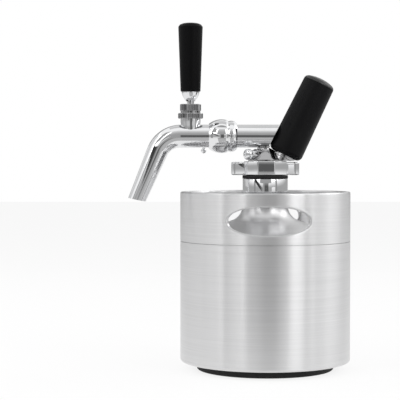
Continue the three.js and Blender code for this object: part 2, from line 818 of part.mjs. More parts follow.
// Coupling nut: a round-backed nut with spanner notches
function couplingNut() {
  const noseBore = shankRadius + clearance;
  const chamber = faucetFlangeRadius + clearance;
  const threadBore = shankThreadRadius + shankThreadDepth + clearance;
  const chamberEnd = faucetRear + clearance;
  const wall = nutRadius - noseBore;
  const outline = [
    [noseBore, nutLeft],
    [noseBore + wall / 6, nutLeft],
    [nutRadius - wall / 3, nutLeft + nutLength / 6],
    [nutRadius - wall / 12, nutLeft + (nutLength * 2) / 6],
    [nutRadius, nutLeft + (nutLength * 2.6) / 6],
    [nutRadius, nutLeft + (nutLength * 3.4) / 6],
    [nutRadius - wall / 6, nutLeft + (nutLength * 4.5) / 6],
    [nutRadius - wall / 2, nutLeft + (nutLength * 5.4) / 6],
    [noseBore + wall / 6, nutRight],
    [threadBore, nutRight],
    [threadBore, chamberEnd],
    [chamber, chamberEnd],
    [chamber, nutLeft + nutNose],
    [noseBore, nutLeft + nutNose],
  ];
  let nut = solid(turned(outline, 30).rotateY(Math.PI / 2));
  for (let i = 0; i < nutNotches; i += 1) {
    const notch = rod(nutNotchRadius, nutLeft - overrun, nutRight + overrun)
      .rotateY(Math.PI / 2)
      .translate(0, 0, nutRadius + nutNotchRadius - nutNotchDepth)
      .rotateX((2 * Math.PI * i) / nutNotches);
    nut = nut.subtract(solid(notch));
  }
  add("coupling_nut", geometryOf(nut).translate(0, 0, shankHeight), "chrome");
}

// Faucet: a straight barrel that bends down into a tapering spout. The distance along its axis
// starts at the rear face, and each place on it is worked out from that distance.
const bendAngle = THREE.MathUtils.degToRad(bendTurn);
const straightLength = faucetRear - bendStart;
const bendLength = bendRadius * bendAngle;
const faucetLength = straightLength + bendLength + spoutLength;

function faucetAxis(distance) {
  const bent = THREE.MathUtils.clamp(distance - straightLength, 0, bendLength) / bendRadius;
  const straight = Math.min(distance, straightLength);
  const beyond = Math.max(distance - straightLength - bendLength, 0);
  const x = faucetRear - straight - bendRadius * Math.sin(bent) - beyond * Math.cos(bent);
  const z = shankHeight - bendRadius * (1 - Math.cos(bent)) - beyond * Math.sin(bent);
  return { x, z, angle: bent };
}

// A round bar along the faucet's axis, between two distances, with a radius at each distance.
function faucetBar(from, to, radiusAt, sides) {
  const stops = [from];
  const steps = 7;
  for (let i = 0; i <= steps; i += 1) {
    const stop = straightLength + (bendLength * i) / steps;
    if (stop > from && stop < to) stops.push(stop);
  }
  stops.push(to);
  const bar = new THREE.CylinderGeometry(1, 1, 1, sides, stops.length - 1);
  const places = bar.attributes.position;
  for (let i = 0; i < places.count; i += 1) {
    const share = 0.5 - places.getY(i);
    const distance = stops[Math.round(share * (stops.length - 1))];
    const radius = radiusAt(distance);
    const axis = faucetAxis(distance);
    const across = places.getX(i) * radius;
    const x = axis.x - across * Math.sin(axis.angle);
    const z = axis.z + across * Math.cos(axis.angle);
    places.setXYZ(i, x, places.getZ(i) * radius, z);
  }
  return bar;
}

function taper(start, end) {
  return (distance) => {
    const share = Math.max(distance - straightLength, 0) / (bendLength + spoutLength);
    return start + (end - start) * share;
  };
}

const outsideRadius = taper(shankRadius, spoutTipRadius);
const insideRadius = taper(faucetBore, spoutTipBore);
const seatFace = faucetRear - seatBack; // the shoulder that the valve seat rests on

function faucetBody() {
  const tip = faucetAxis(faucetLength);
  const barrel = faucetBar(0, faucetLength + overrun, outsideRadius, turnedSides);
  const flange = rod(faucetFlangeRadius, flangeFace, faucetRear, turnedSides)
    .rotateY(Math.PI / 2)
    .translate(0, 0, shankHeight);
  const spigotTop = bossTopHeight + bossSpigotHeight;
  const boss = turned([
    [0, shankHeight],
    [bossFootRadius, shankHeight],
    [bossFootRadius, shankHeight + shankRadius],
    [bossRadius, bossTopHeight - bossSpigotHeight / 2],
    [bossRadius, bossTopHeight],
    [bossSpigotRadius, bossTopHeight],
    [bossSpigotRadius, spigotTop],
    [0, spigotTop],
  ]).translate(leverX, 0, 0);
  const flowBoss = rod(flowBossRadius, 0, shankRadius + flowBossReach)
    .rotateX(-Math.PI / 2)
    .translate(flowX, 0, shankHeight);
  const size = kegRadius;
  const tipCut = new THREE.BoxGeometry(size, size, size)
    .translate(0, 0, -size / 2)
    .rotateY(THREE.MathUtils.degToRad(spoutCutTilt))
    .translate(tip.x, 0, tip.z);
  const waterway = faucetBar(faucetRear - seatFace, faucetLength + 2 * overrun, insideRadius, turnedSides);
  const seatWay = rod(shankMouthBore, seatFace - overrun, faucetRear + overrun, turnedSides)
    .rotateY(Math.PI / 2)
    .translate(0, 0, shankHeight);
  const ballFloor = ballWasherBottom - clearance;
  const lever = turned([
    [0, shankHeight],
    [bossBore, shankHeight],
    [bossBore, ballFloor],
    [bossBore + washerStep, ballFloor],
    [bossBore + washerStep, spigotTop + overrun],
    [0, spigotTop + overrun],
  ]).translate(leverX, 0, 0);
  const flowBore = rod(flowShaftRadius + clearance, 0, shankRadius + flowBossReach + overrun)
    .rotateX(-Math.PI / 2)
    .translate(flowX, 0, shankHeight);
  const body = solid(barrel)
    .add(solid(flange))
    .add(solid(boss))
    .add(solid(flowBoss))
    .subtract(solid(tipCut))
    .subtract(solid(waterway))
    .subtract(solid(seatWay))
    .subtract(solid(lever))
    .subtract(solid(flowBore));
  add("faucet_body", geometryOf(body), "chrome");
}

function valveSeat() {
  const right = seatFace - clearance;
  const left = right - seatThickness;
  const outer = faucetBore - clearance;
  const ring = turned([[seatBore, left], [outer, left], [outer, right], [seatBore, right]]);
  add("valve_seat", ring.rotateY(Math.PI / 2).translate(0, 0, shankHeight), "steel");
}

// A disc across the spout that foams the drink, held by the spout's taper
function restrictorDisc() {
  const distance = faucetLength - restrictorInset;
  const place = faucetAxis(distance);
  const radius = insideRadius(distance) - clearance;
  let disc = solid(rod(radius, -restrictorThickness / 2, restrictorThickness / 2, turnedSides));
  for (let i = 0; i < restrictorHoles; i += 1) {
    const hole = rod(restrictorHoleRadius, -overrun, overrun, 10)
      .translate(radius / 2, 0, 0)
      .rotateZ((2 * Math.PI * i) / restrictorHoles);
    disc = disc.subtract(solid(hole));
  }
  const turn = Math.PI / 2 - place.angle;
  add("restrictor_disc", geometryOf(disc).rotateY(turn).translate(place.x, 0, place.z), "steel");
}

// Tap lever, its ball seats and the bonnet
function ballWasher() {
  const hole = seatRadius + clearance;
  const outer = bossBore + washerStep - clearance;
  const ring = turned([
    [hole, ballWasherBottom],
    [outer, ballWasherBottom],
    [outer, ballWasherTop],
    [hole, ballWasherTop],
  ]);
  add("ball_washer", ring.translate(leverX, 0, 0), "nylon");
}

function frictionWasher() {
  const hole = seatRadius + clearance;
  const swing = (frictionTop - pivotHeight) * leverTan + leverRadius / leverCos + clearance;
  const outer = bossBore + washerStep - clearance;
  const ring = turned([
    [hole, frictionBottom],
    [outer, frictionBottom],
    [outer, frictionTop],
    [Math.max(hole, swing), frictionTop],
  ]);
  add("friction_washer", ring.translate(leverX, 0, 0), "nylon");
}

function bonnet() {
  const lockTop = bonnetBottom + lockCollarHeight;
  const grooveTop = lockTop + bonnetGroove;
  const spigotBoreRadius = bossSpigotRadius + clearance;
  const spigotRoom = bossTopHeight + bossSpigotHeight + clearance;
  const chamber = bossBore + washerStep;
  const edge = clearance * 2;
  const shell = turned([
    [spigotBoreRadius, bonnetBottom],
    [lockCollarRadius - edge, bonnetBottom],
    [lockCollarRadius, bonnetBottom + edge],
    [lockCollarRadius, lockTop - edge],
    [lockCollarRadius - edge, lockTop],
    [bonnetGrooveRadius, lockTop],
    [bonnetGrooveRadius, grooveTop],
    [bonnetRadius - edge, grooveTop],
    [bonnetRadius, grooveTop + edge],
    [bonnetRadius, bonnetTop - edge],
    [bonnetRadius - edge, bonnetTop],
    [0, bonnetTop],
    [0, roofUnder],
    [chamber, roofUnder],
    [chamber, spigotRoom],
    [spigotBoreRadius, spigotRoom],
  ]);
  const slot = leverSlot(roofUnder - overrun, bonnetTop + overrun);
  const body = solid(shell).subtract(slot);
  add("bonnet", geometryOf(body).translate(leverX, 0, 0), "chrome");
}

// The slot in the bonnet's roof that the lever swings in, towards -X
function leverSlot(bottom, top) {
  const swing = (bonnetTop - pivotHeight) * leverTan;
  const radius = leverRadius / leverCos + clearance;
  const shape = new THREE.Shape();
  shape.absarc(-swing, 0, radius, Math.PI / 2, (3 * Math.PI) / 2, false);
  shape.absarc(0, 0, radius, -Math.PI / 2, Math.PI / 2, false);
  const slot = new THREE.ExtrudeGeometry(shape, {
    depth: top - bottom,
    bevelEnabled: false,
    curveSegments: 8,
  });
  return solid(slot.translate(0, 0, bottom));
}

function tapLever() {
  const tip = shankHeight;
  const armTop = pivotHeight - Math.sqrt(ballRadius ** 2 - leverArmRadius ** 2);
  const shaftFoot = pivotHeight + Math.sqrt(ballRadius ** 2 - leverRadius ** 2);
  const armAngle = THREE.MathUtils.radToDeg(Math.asin(leverArmRadius / ballRadius));
  const shaftAngle = THREE.MathUtils.radToDeg(Math.asin(leverRadius / ballRadius));
  const tipAngle = THREE.MathUtils.radToDeg(Math.asin(leverArmRadius / leverTipRadius));
  const studTop = handleBottom + insertLength;
  const outline = [
    [0, tip - leverTipRadius],
    ...arc(0, tip, leverTipRadius, -90, 90 - tipAngle, 6).slice(1),
    [leverArmRadius, armTop],
    ...arc(0, pivotHeight, ballRadius, armAngle - 90, 90 - shaftAngle, 8).slice(1, -1),
    [leverRadius, shaftFoot],
    [leverRadius, ferruleBottom + ferruleHeight / 2],
    [leverStudRadius, ferruleBottom + ferruleHeight / 2],
    [leverStudRadius, studTop],
    [0, studTop],
  ];
  add("tap_lever", turned(outline, smallSides).translate(leverX, 0, 0), "chrome");
}

function ferrule() {
  const bore = leverRadius + clearance;
  const top = ferruleBottom + ferruleHeight;
  const outline = [
    [bore, ferruleBottom],
    [leverRadius + clearance * 2, ferruleBottom],
    [ferruleFootRadius, ferruleBottom + ferruleHeight * 0.22],
    [ferruleFootRadius + (ferruleTopRadius - ferruleFootRadius) * 0.7, ferruleBottom + ferruleHeight * 0.5],
    [ferruleTopRadius, ferruleBottom + ferruleHeight * 0.86],
    [ferruleTopRadius, top],
    [bore, top],
  ];
  add("ferrule", turned(outline).translate(leverX, 0, 0), "chrome");
}

function handleInsert() {
  const inner = leverStudRadius + clearance;
  const outer = inner + insertWall;
  const top = handleBottom + insertLength;
  add("handle_insert", turned([[inner, handleBottom], [outer, handleBottom], [outer, top], [inner, top]])
    .translate(leverX, 0, 0), "brass");
}

function tapHandle() {
  const socket = leverStudRadius + 2 * clearance + insertWall;
  const socketTop = handleBottom + insertLength + clearance;
  const shoulder = handleBottom + handleLength;
  const crown = shoulder + handleCrown;
  const edge = handleFootRadius / 12;
  const outline = [
    [socket, handleBottom],
    [handleFootRadius - edge, handleBottom],
    [handleFootRadius, handleBottom + edge],
    [handleTopRadius, shoulder - edge],
    [handleTopRadius - edge / 2, shoulder],
    [handleTopRadius * 0.82, shoulder + handleCrown * 0.5],
    [handleTopRadius * 0.5, shoulder + handleCrown * 0.88],
    [0, crown],
    [0, socketTop],
    [socket, socketTop],
  ];
  add("tap_handle", turned(outline).translate(leverX, 0, 0), "black");
}

// Valve stem: a finned head with a slot for the lever's tip, and a rod through the seat
function valveStem() {
  const finRadius = faucetBore - clearance;
  const sealLeft = seatFace + clearance;
  const rodRight = sealLeft + valveSealLength + clearance * 3;
  let stem = solid(rod(stemCoreRadius, -stemHeadLeft, stemHeadRight).rotateY(Math.PI / 2));
  for (let i = 0; i < stemFins; i += 1) {
    const fin = new THREE.BoxGeometry(stemHeadLeft + stemHeadRight, stemFinWidth, 2 * finRadius)
      .translate((stemHeadRight - stemHeadLeft) / 2, 0, 0)
      .rotateX(Math.PI / 4 + (Math.PI * i) / stemFins);
    stem = stem.add(solid(fin));
  }
  const barrel = rod(finRadius, -stemHeadLeft, stemHeadRight, turnedSides).rotateY(Math.PI / 2);
  stem = stem.intersect(solid(barrel));
  stem = stem.add(solid(rod(stemRadius, 0, rodRight - leverX).rotateY(Math.PI / 2)));
  const tipRoom = leverTipRadius + clearance;
  const narrow = new THREE.BoxGeometry(2 * tipRoom, 2 * tipRoom, 2 * tipRoom + overrun)
    .translate(0, 0, overrun / 2 - clearance);
  const swing = finRadius * leverTan + leverArmRadius / leverCos + clearance;
  const wideFoot = tipRoom / 2;
  const wide = new THREE.BoxGeometry(swing + tipRoom, 2 * tipRoom, finRadius)
    .translate((tipRoom - swing) / 2, 0, wideFoot + finRadius / 2);
  stem = stem.subtract(solid(narrow)).subtract(solid(wide));
  add("valve_stem", geometryOf(stem).translate(leverX, 0, shankHeight), "steel");
}

function valveSeal() {
  const left = seatFace + clearance;
  const right = left + valveSealLength;
  const inner = stemRadius + clearance;
  const ring = turned([
    [inner, left],
    [valveSealRadius - valveSealLength / 3, left],
    [valveSealRadius, left + valveSealLength / 3],
    [valveSealRadius, right],
    [inner, right],
  ]);
  add("valve_seal", ring.rotateY(Math.PI / 2).translate(0, 0, shankHeight), "rubber");
}

// Flow control: a shaft through the faucet's far side, with a vane inside and a lever outside
function flowControl() {
  const frame = new THREE.Group();
  frame.position.set(flowX, 0, shankHeight);
  model.add(frame);
  const outside = shankRadius + flowBossReach;
  const armNear = outside + clearance;
  const armFar = armNear + flowArmThickness;
  const vaneFar = faucetBore - oringThickness;
  const vaneNear = stemRadius + 3 * clearance;
  const shaft = solid(rod(flowShaftRadius, vaneFar, armFar - flowArmThickness / 3).rotateX(-Math.PI / 2));
  const vane = new THREE.BoxGeometry(flowVaneThickness, vaneFar - vaneNear + overrun / 2, 2 * flowVaneHalfWidth)
    .translate(0, (vaneFar + vaneNear + overrun / 2) / 2, 0);
  add("flow_shaft", geometryOf(shaft.add(solid(vane))), "steel", frame);
  const hub = rod(flowHubRadius, armNear, armFar).rotateX(-Math.PI / 2);
  const middle = (armNear + armFar) / 2;
  const arm = rod(flowArmRadius, -flowArmLength, 0, smallSides);
  const knob = new THREE.SphereGeometry(flowKnobRadius, 14, 10)
    .rotateX(Math.PI / 2)
    .translate(0, 0, -flowArmLength);
  const lean = THREE.MathUtils.degToRad(flowArmLean);
  const leaning = solid(arm.rotateY(lean).translate(0, middle, 0))
    .add(solid(knob.rotateY(lean).translate(0, middle, 0)));
  const socket = rod(flowShaftRadius + clearance, armNear - overrun, armFar - flowArmThickness / 3 + clearance)
    .rotateX(-Math.PI / 2);
  const lever = solid(hub).add(leaning).subtract(solid(socket));
  add("flow_lever", geometryOf(lever), "chrome", frame);
}

// Relief valve: barrel, pin, seal, spring and pull knob, along the relief frame
const reliefInner = reliefBossReach - reliefSocket + clearance;
const reliefOuter = reliefInner + reliefBarrelLength;

function reliefBarrel() {
  const outline = [
    [reliefBarrelBore, reliefInner],
    [reliefBarrelRadius, reliefInner],
    [reliefBarrelRadius, reliefOuter],
    [reliefPinRadius + clearance, reliefOuter],
    [reliefPinRadius + clearance, reliefOuter - reliefEndWall],
    [reliefBarrelBore, reliefOuter - reliefEndWall],
  ];
  add("relief_barrel", turned(outline, smallSides), "chrome", relief);
}

function reliefPin() {
  const discFace = reliefInner + reliefSealThickness;
  const knobFoot = reliefOuter + clearance;
  const outline = [
    [0, discFace],
    [reliefDiscRadius, discFace],
    [reliefDiscRadius, discFace + reliefDiscThickness],
    [reliefPinRadius, discFace + reliefDiscThickness],
    [reliefPinRadius, knobFoot + reliefKnobLength / 2],
    [0, knobFoot + reliefKnobLength / 2],
  ];
  add("relief_pin", turned(outline, smallSides), "steel", relief);
  const sealFace = reliefInner;
  const sealTop = discFace - clearance;
  const seal = rod(reliefDiscRadius, sealFace, sealTop, smallSides);
  add("relief_seal", seal, "rubber", relief);
}

function reliefKnob() {
  const foot = reliefOuter + clearance;
  const socket = reliefPinRadius + clearance;
  const socketTop = foot + reliefKnobLength / 2 + clearance;
  const shoulder = foot + reliefKnobLength * 0.55;
  const outline = [
    [socket, foot],
    [reliefKnobRadius * 0.8, foot],
    [reliefKnobRadius, foot + reliefKnobLength * 0.14],
    [reliefKnobRadius, shoulder],
    [reliefKnobRadius * 0.86, foot + reliefKnobLength * 0.8],
    [reliefKnobRadius * 0.5, foot + reliefKnobLength * 0.96],
    [0, foot + reliefKnobLength],
    [0, socketTop],
    [socket, socketTop],
  ];
  add("relief_knob", turned(outline, turnedSides), "chrome", relief);
}

// The least gap between turns, on the points of the wire's centre line
function leastGap(centres, stepsPerTurn) {
  let least = Infinity;
  centres.forEach((here, i) => {
    for (let j = i + stepsPerTurn / 2; j < centres.length; j += 1) {
      least = Math.min(least, here.distanceTo(centres[j]) - 2 * springWire);
    }
  });
  return least;
}

// The spring: one unbroken wire tube, rings of points joined up a helix
function reliefSpring() {
  const bottom = reliefInner + reliefSealThickness + reliefDiscThickness + clearance + springWire;
  const top = reliefOuter - reliefEndWall - clearance - springWire;
  const rise = top - bottom;
  const stepsPerTurn = 10;
  const wireSides = 5;
  const steps = springTurns * stepsPerTurn;
  const slope = Math.atan2(rise / springTurns, 2 * Math.PI * springRadius);
  const places = [];
  const centres = [];
  for (let i = 0; i <= steps; i += 1) {
    const angle = (2 * Math.PI * i) / stepsPerTurn;
    const outward = new THREE.Vector3(Math.cos(angle), Math.sin(angle), 0);
    const forward = new THREE.Vector3(-Math.sin(angle), Math.cos(angle), 0).multiplyScalar(Math.cos(slope));
    forward.z = Math.sin(slope);
    const sideways = forward.clone().cross(outward);
    const centre = outward.clone().multiplyScalar(springRadius);
    centre.z = bottom + (rise * i) / steps;
    centres.push(centre);
    for (let j = 0; j < wireSides; j += 1) {
      const turn = (2 * Math.PI * j) / wireSides;
      const point = centre.clone()
        .addScaledVector(outward, springWire * Math.cos(turn))
        .addScaledVector(sideways, springWire * Math.sin(turn));
      places.push(point.x, point.y, point.z);
    }
  }
  const faces = [];
  for (let i = 0; i < steps; i += 1) {
    for (let j = 0; j < wireSides; j += 1) {
      const a = i * wireSides + j;
      const b = i * wireSides + ((j + 1) % wireSides);
      faces.push(a, b, a + wireSides, b, b + wireSides, a + wireSides);
    }
  }
  const lastRing = steps * wireSides;
  for (let j = 1; j < wireSides - 1; j += 1) {
    faces.push(0, j + 1, j);
    faces.push(lastRing, lastRing + j, lastRing + j + 1);
  }
  console.log("relief_spring least gap to itself, mm:", leastGap(centres, stepsPerTurn).toFixed(2));
  const wire = new THREE.BufferGeometry();
  wire.setAttribute("position", new THREE.Float32BufferAttribute(places, 3));
  wire.setIndex(faces);
  add("relief_spring", wire, "steel", relief);
}

// Gas charger: piercing pin, seal, cartridge, cup and sleeve, along the charger frame
const sealFoot = spigotFloor + clearance;
const cartridgeFoot = sealFoot + chargerSealThickness + clearance;

function piercingPin() {
  const foot = spigotFloor - pinBaseHeight + clearance;
  const baseTop = spigotFloor;
  const tip = baseTop + pinNeedleLength;
  const outline = [
    [pinBore, foot],
    [pinBaseRadius, foot],
    [pinBaseRadius, baseTop],
    [pinNeedleRadius, baseTop],
    [pinNeedleRadius, tip - pinNeedleRadius],
    [pinBore * 1.2, tip],
    [pinBore, tip],
  ];
  add("piercing_pin", turned(outline, smallSides), "steel", charger);
}

function chargerSeal() {
  const top = sealFoot + chargerSealThickness;
  const hole = pinNeedleRadius + clearance;
  const outline = [
    [hole, sealFoot],
    [chargerSealRadius, sealFoot],
    [chargerSealRadius, top],
    [hole, top],
  ];
  add("charger_seal", turned(outline, smallSides), "rubber", charger);
}

function gasCartridge() {
  const foot = cartridgeFoot;
  const top = foot + cartridgeLength;
  const neckTopHeight = foot + cartridgeNeckLength;
  const shoulderTop = neckTopHeight + cartridgeShoulder;
  const hole = pinNeedleRadius + clearance;
  const crownRadius = cartridgeRadius * 0.62;
  const crownDrop = cartridgeRadius * 0.62;
  const outline = [
    [hole, foot],
    [cartridgeNeckRadius, foot],
    [cartridgeNeckRadius, neckTopHeight],
    [cartridgeRadius * 0.8, neckTopHeight + cartridgeShoulder * 0.45],
    [cartridgeRadius, shoulderTop],
    [cartridgeRadius, top - crownDrop],
    [crownRadius * 1.3, top - crownDrop * 0.3],
    [crownRadius * 0.7, top],
    [0, top],
    [0, top - cartridgeWall],
    [crownRadius * 0.6, top - cartridgeWall],
    [cartridgeRadius - cartridgeWall, top - crownDrop - cartridgeWall],
    [cartridgeRadius - cartridgeWall, shoulderTop],
    [cartridgeRadius * 0.8 - cartridgeWall, neckTopHeight + cartridgeShoulder * 0.55],
    [hole, neckTopHeight + cartridgeShoulder * 0.2],
  ];
  add("gas_cartridge", turned(outline, smallSides), "steel", charger);
}

function chargerCup() {
  const mouth = sleeveLip + clearance;
  const threadBore = spigotRadius + spigotThreadDepth + clearance;
  const threadTop = spigotHeight + clearance * 2;
  const inside = cartridgeFoot + cartridgeLength + clearance;
  const top = inside + cupWall;
  const outline = [
    [threadBore, mouth],
    [cupRadius, mouth],
    [cupRadius, top - cupWall / 2],
    [cupRadius - cupWall / 2, top],
    [0, top],
    [0, inside],
    [cupBore, inside],
    [cupBore, threadTop + (threadBore - cupBore)],
    [threadBore, threadTop],
  ];
  add("charger_cup", turned(outline), "aluminium", charger);
}

function chargerSleeve() {
  const bore = cupRadius + clearance;
  const mouth = spigotRadius + spigotThreadDepth + 2 * clearance;
  const inside = cartridgeFoot + cartridgeLength + clearance + cupWall + clearance;
  const footCentre = sleeveFootRadius - sleeveFootRound;
  const shoulder = sleeveLength - sleeveCrown;
  const outline = [
    [mouth, 0],
    ...arc(footCentre, sleeveFootRound, sleeveFootRound, -90, 0, 5).filter(([r]) => r > mouth),
    [sleeveTopRadius, shoulder],
    [sleeveTopRadius * 0.965, shoulder + sleeveCrown * 0.4],
    [sleeveTopRadius * 0.85, shoulder + sleeveCrown * 0.7],
    [sleeveTopRadius * 0.46, shoulder + sleeveCrown * 0.93],
    [0, sleeveLength],
    [0, Math.max(inside, shoulder - sleeveWall)],
    [bore, Math.max(inside, shoulder - sleeveWall)],
    [bore, sleeveLip],
    [mouth, sleeveLip],
  ];
  add("charger_sleeve", turned(outline), "black", charger);
}

basePad();
kegVessel();
kegShoulder();
carryCollar();
neckRing();
outerSeal();
wingedRing();
mouthGasket();
headPlug();
dipTube();
dipTubeRing();
headCasting();
shank();
couplingWasherRing();
couplingNut();
faucetBody();
valveSeat();
restrictorDisc();
ballWasher();
frictionWasher();
bonnet();
tapLever();
ferrule();
handleInsert();
tapHandle();
valveStem();
valveSeal();
flowControl();
reliefBarrel();
reliefPin();
reliefKnob();
reliefSpring();
piercingPin();
chargerSeal();
gasCartridge();
chargerCup();
chargerSleeve();

export default model;
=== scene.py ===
# %% [markdown]
# # A mini keg that pours nitro cold brew coffee
#
# The real object is a small stainless keg with a carrying collar. A head is
# clamped on its neck. The head holds a tap with a black handle on one side and
# a gas charger in a black sleeve on the other. Almost everything on it was
# turned on a lathe or rolled from sheet, so this lesson mostly draws outlines
# and turns them, the way the maker did.
#
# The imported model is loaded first. It gives the bodies that move, the pieces'
# places and the size that the finished model has to keep.

# %% Load the frame
import math

import bpy
from mathutils import Matrix, Vector


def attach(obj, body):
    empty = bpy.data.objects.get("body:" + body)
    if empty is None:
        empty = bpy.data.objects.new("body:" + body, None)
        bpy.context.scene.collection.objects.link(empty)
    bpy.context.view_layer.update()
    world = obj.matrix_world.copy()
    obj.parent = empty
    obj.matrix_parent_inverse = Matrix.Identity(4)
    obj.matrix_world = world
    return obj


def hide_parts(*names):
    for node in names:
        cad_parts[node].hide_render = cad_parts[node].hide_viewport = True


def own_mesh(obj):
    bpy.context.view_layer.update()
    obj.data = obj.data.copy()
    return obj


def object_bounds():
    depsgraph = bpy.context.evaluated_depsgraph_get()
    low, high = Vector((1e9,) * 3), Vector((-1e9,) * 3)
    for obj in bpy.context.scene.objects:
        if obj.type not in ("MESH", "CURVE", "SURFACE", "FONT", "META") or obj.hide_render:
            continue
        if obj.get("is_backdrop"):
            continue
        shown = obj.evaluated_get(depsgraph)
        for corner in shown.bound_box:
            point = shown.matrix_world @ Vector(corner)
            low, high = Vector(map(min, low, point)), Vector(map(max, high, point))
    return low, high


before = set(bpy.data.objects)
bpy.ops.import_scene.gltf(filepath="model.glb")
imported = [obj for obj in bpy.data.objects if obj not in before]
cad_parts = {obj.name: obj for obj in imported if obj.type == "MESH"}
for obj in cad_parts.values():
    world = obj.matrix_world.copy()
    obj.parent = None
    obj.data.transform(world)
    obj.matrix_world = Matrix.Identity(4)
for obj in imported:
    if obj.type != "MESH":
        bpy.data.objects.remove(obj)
cad_box = [list(corner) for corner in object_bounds()]
scene = bpy.context.scene
scene.view_settings.view_transform = "Standard"
MM = 0.001
print("size in mm:", [round((high - low) / MM, 1) for low, high in zip(*cad_box)])

# %% [markdown]
# ## The camera
#
# The photograph looks at the keg from its front, almost level, with the camera
# as high as the tap. A long lens stands far off, so the round rim looks nearly
# flat. Its place and lens were worked out from the ellipses of the keg's rim
# and base.

# %% Place the camera
PICTURE_SIZE = 400
FOCAL_PIXELS = 1396.2
LOOKS_DOWN = 1.66
camera_data = bpy.data.cameras.new("camera")
camera_data.sensor_width = 36
camera_data.lens = camera_data.sensor_width * FOCAL_PIXELS / PICTURE_SIZE
camera_data.clip_end = 50
camera = bpy.data.objects.new("camera", camera_data)
camera.location = (-0.0707, -1.5144, 0.2271)
camera.rotation_euler = (math.radians(90 - LOOKS_DOWN), 0, 0)
scene.collection.objects.link(camera)
scene.camera = camera
print("lens in mm:", round(camera_data.lens, 1))

# %% [markdown]
# ## Tools for drawing and turning
#
# A lathe cuts the same outline all the way round a bar. In Blender, one vertex
# is extruded from point to point to draw the outline, and Spin sweeps it round
# the axis. Outlines here are lists of (radius, height) in millimetres, like a
# workshop drawing, so that each can be checked against a ruler.

# %% A clean selection, and the few edit steps that every piece needs
SAME_POINT = 0.001
TOUCHING = 0.01


def select_only(*pieces):
    if bpy.context.mode != "OBJECT":
        bpy.ops.object.mode_set(mode="OBJECT")
    bpy.ops.object.select_all(action="DESELECT")
    for piece in pieces:
        piece.select_set(True)
    if pieces:
        bpy.context.view_layer.objects.active = pieces[0]


def edit_all():
    """Edit mode, with the whole mesh selected."""
    bpy.ops.object.mode_set(mode="EDIT")
    bpy.ops.mesh.select_all(action="SELECT")


def leave_edit():
    bpy.ops.object.mode_set(mode="OBJECT")


def weld(distance=SAME_POINT):
    """Merge points closer than a distance in millimetres, in edit mode."""
    bpy.ops.mesh.select_all(action="SELECT")
    bpy.ops.mesh.remove_doubles(threshold=distance * MM)


def face_outwards():
    """Turn every face outwards, and leave edit mode."""
    bpy.ops.mesh.select_all(action="SELECT")
    bpy.ops.mesh.normals_make_consistent(inside=False)
    leave_edit()


# %% An outline drawn point by point
def draw_outline(name, points):
    """A chain of edges in the XZ plane: one vertex, extruded from point to point."""
    select_only()
    bpy.ops.mesh.primitive_plane_add(size=MM)
    piece = bpy.context.active_object
    piece.name = name
    bpy.ops.object.mode_set(mode="EDIT")
    bpy.ops.mesh.select_mode(type="VERT")
    bpy.ops.mesh.merge(type="CENTER")
    before = (0, 0)
    for index, point in enumerate(points):
        step = ((point[0] - before[0]) * MM, 0, (point[1] - before[1]) * MM)
        if index == 0:
            bpy.ops.transform.translate(value=step)
        else:
            bpy.ops.mesh.extrude_region_move(TRANSFORM_OT_translate={"value": step})
        before = point
    return piece


def arc(centre_r, centre_z, radius, start, stop, steps):
    """Points on a round corner, with angles in degrees from the +radius axis."""
    points = []
    for index in range(steps + 1):
        angle = math.radians(start + (stop - start) * index / steps)
        points.append((centre_r + radius * math.cos(angle), centre_z + radius * math.sin(angle)))
    return points


# %% The lathe
CREASE = 32


def smooth(piece, crease=CREASE):
    """Shade smoothly, except over edges sharper than the crease in degrees."""
    select_only(piece)
    bpy.ops.object.shade_smooth_by_angle(angle=math.radians(crease))


def soften(piece, width, segments=2):
    """Round the sharp edges, as polishing does."""
    select_only(piece)
    bevel = piece.modifiers.new("edges", "BEVEL")
    bevel.width = width * MM
    bevel.segments = segments
    bevel.limit_method = "ANGLE"
    bevel.angle_limit = math.radians(CREASE)
    bevel.miter_outer = "MITER_ARC"
    bpy.ops.object.modifier_apply(modifier=bevel.name)


def turn(name, points, steps=96, edge=0, closed=True):
    """Spin an outline round Z. A closed outline off the axis makes a ring."""
    ring = closed and (points[0][0] > 0 or points[-1][0] > 0)
    piece = draw_outline(name, list(points) + ([points[0]] if ring else []))
    weld()
    bpy.ops.mesh.select_all(action="SELECT")
    bpy.ops.mesh.spin(steps=steps, angle=2 * math.pi, center=(0, 0, 0), axis=(0, 0, 1))
    weld()
    face_outwards()
    if edge:
        soften(piece, edge)
    smooth(piece)
    return piece


# %% [markdown]
# Pieces that lie along another axis are turned upright and then laid in place:
# the shank and faucet along X, the relief valve out to the side, and the gas
# charger on its lean. The place is then applied, so that every finished object
# sits at the origin with its place in its mesh.

# %% Lay a piece in place
TAP_HEIGHT = 252.3
CHARGER_LEAN = 26


def place_at(x, y=0, z=0, *turns):
    """A place in millimetres, turned by each pair of degrees and axis."""
    place = Matrix.Translation((x * MM, y * MM, z * MM))
    for degrees, axis in turns:
        place = place @ Matrix.Rotation(math.radians(degrees), 4, axis)
    return place


MIDDLE = place_at(0)
ALONG_X = place_at(0, 0, TAP_HEIGHT, (90, "Y"))
CHARGER = place_at(20.5, 0, 232.1, (CHARGER_LEAN, "Y"))
RELIEF = place_at(0, 0, 232.5, (40, "Z"), (-90, "Y"))


def lay(piece, place):
    piece.matrix_world = place
    select_only(piece)
    bpy.ops.object.transform_apply(location=True, rotation=True, scale=True)
    return piece


# %% Join pieces, or bore a hole in one
def combine(piece, other, operation="UNION"):
    """Boolean of two closed solids, which uses up the second one."""
    select_only(piece)
    cut = piece.modifiers.new("combine", "BOOLEAN")
    cut.operation = operation
    cut.solver = "EXACT"
    cut.object = other
    bpy.ops.object.modifier_apply(modifier=cut.name)
    bpy.data.objects.remove(other)


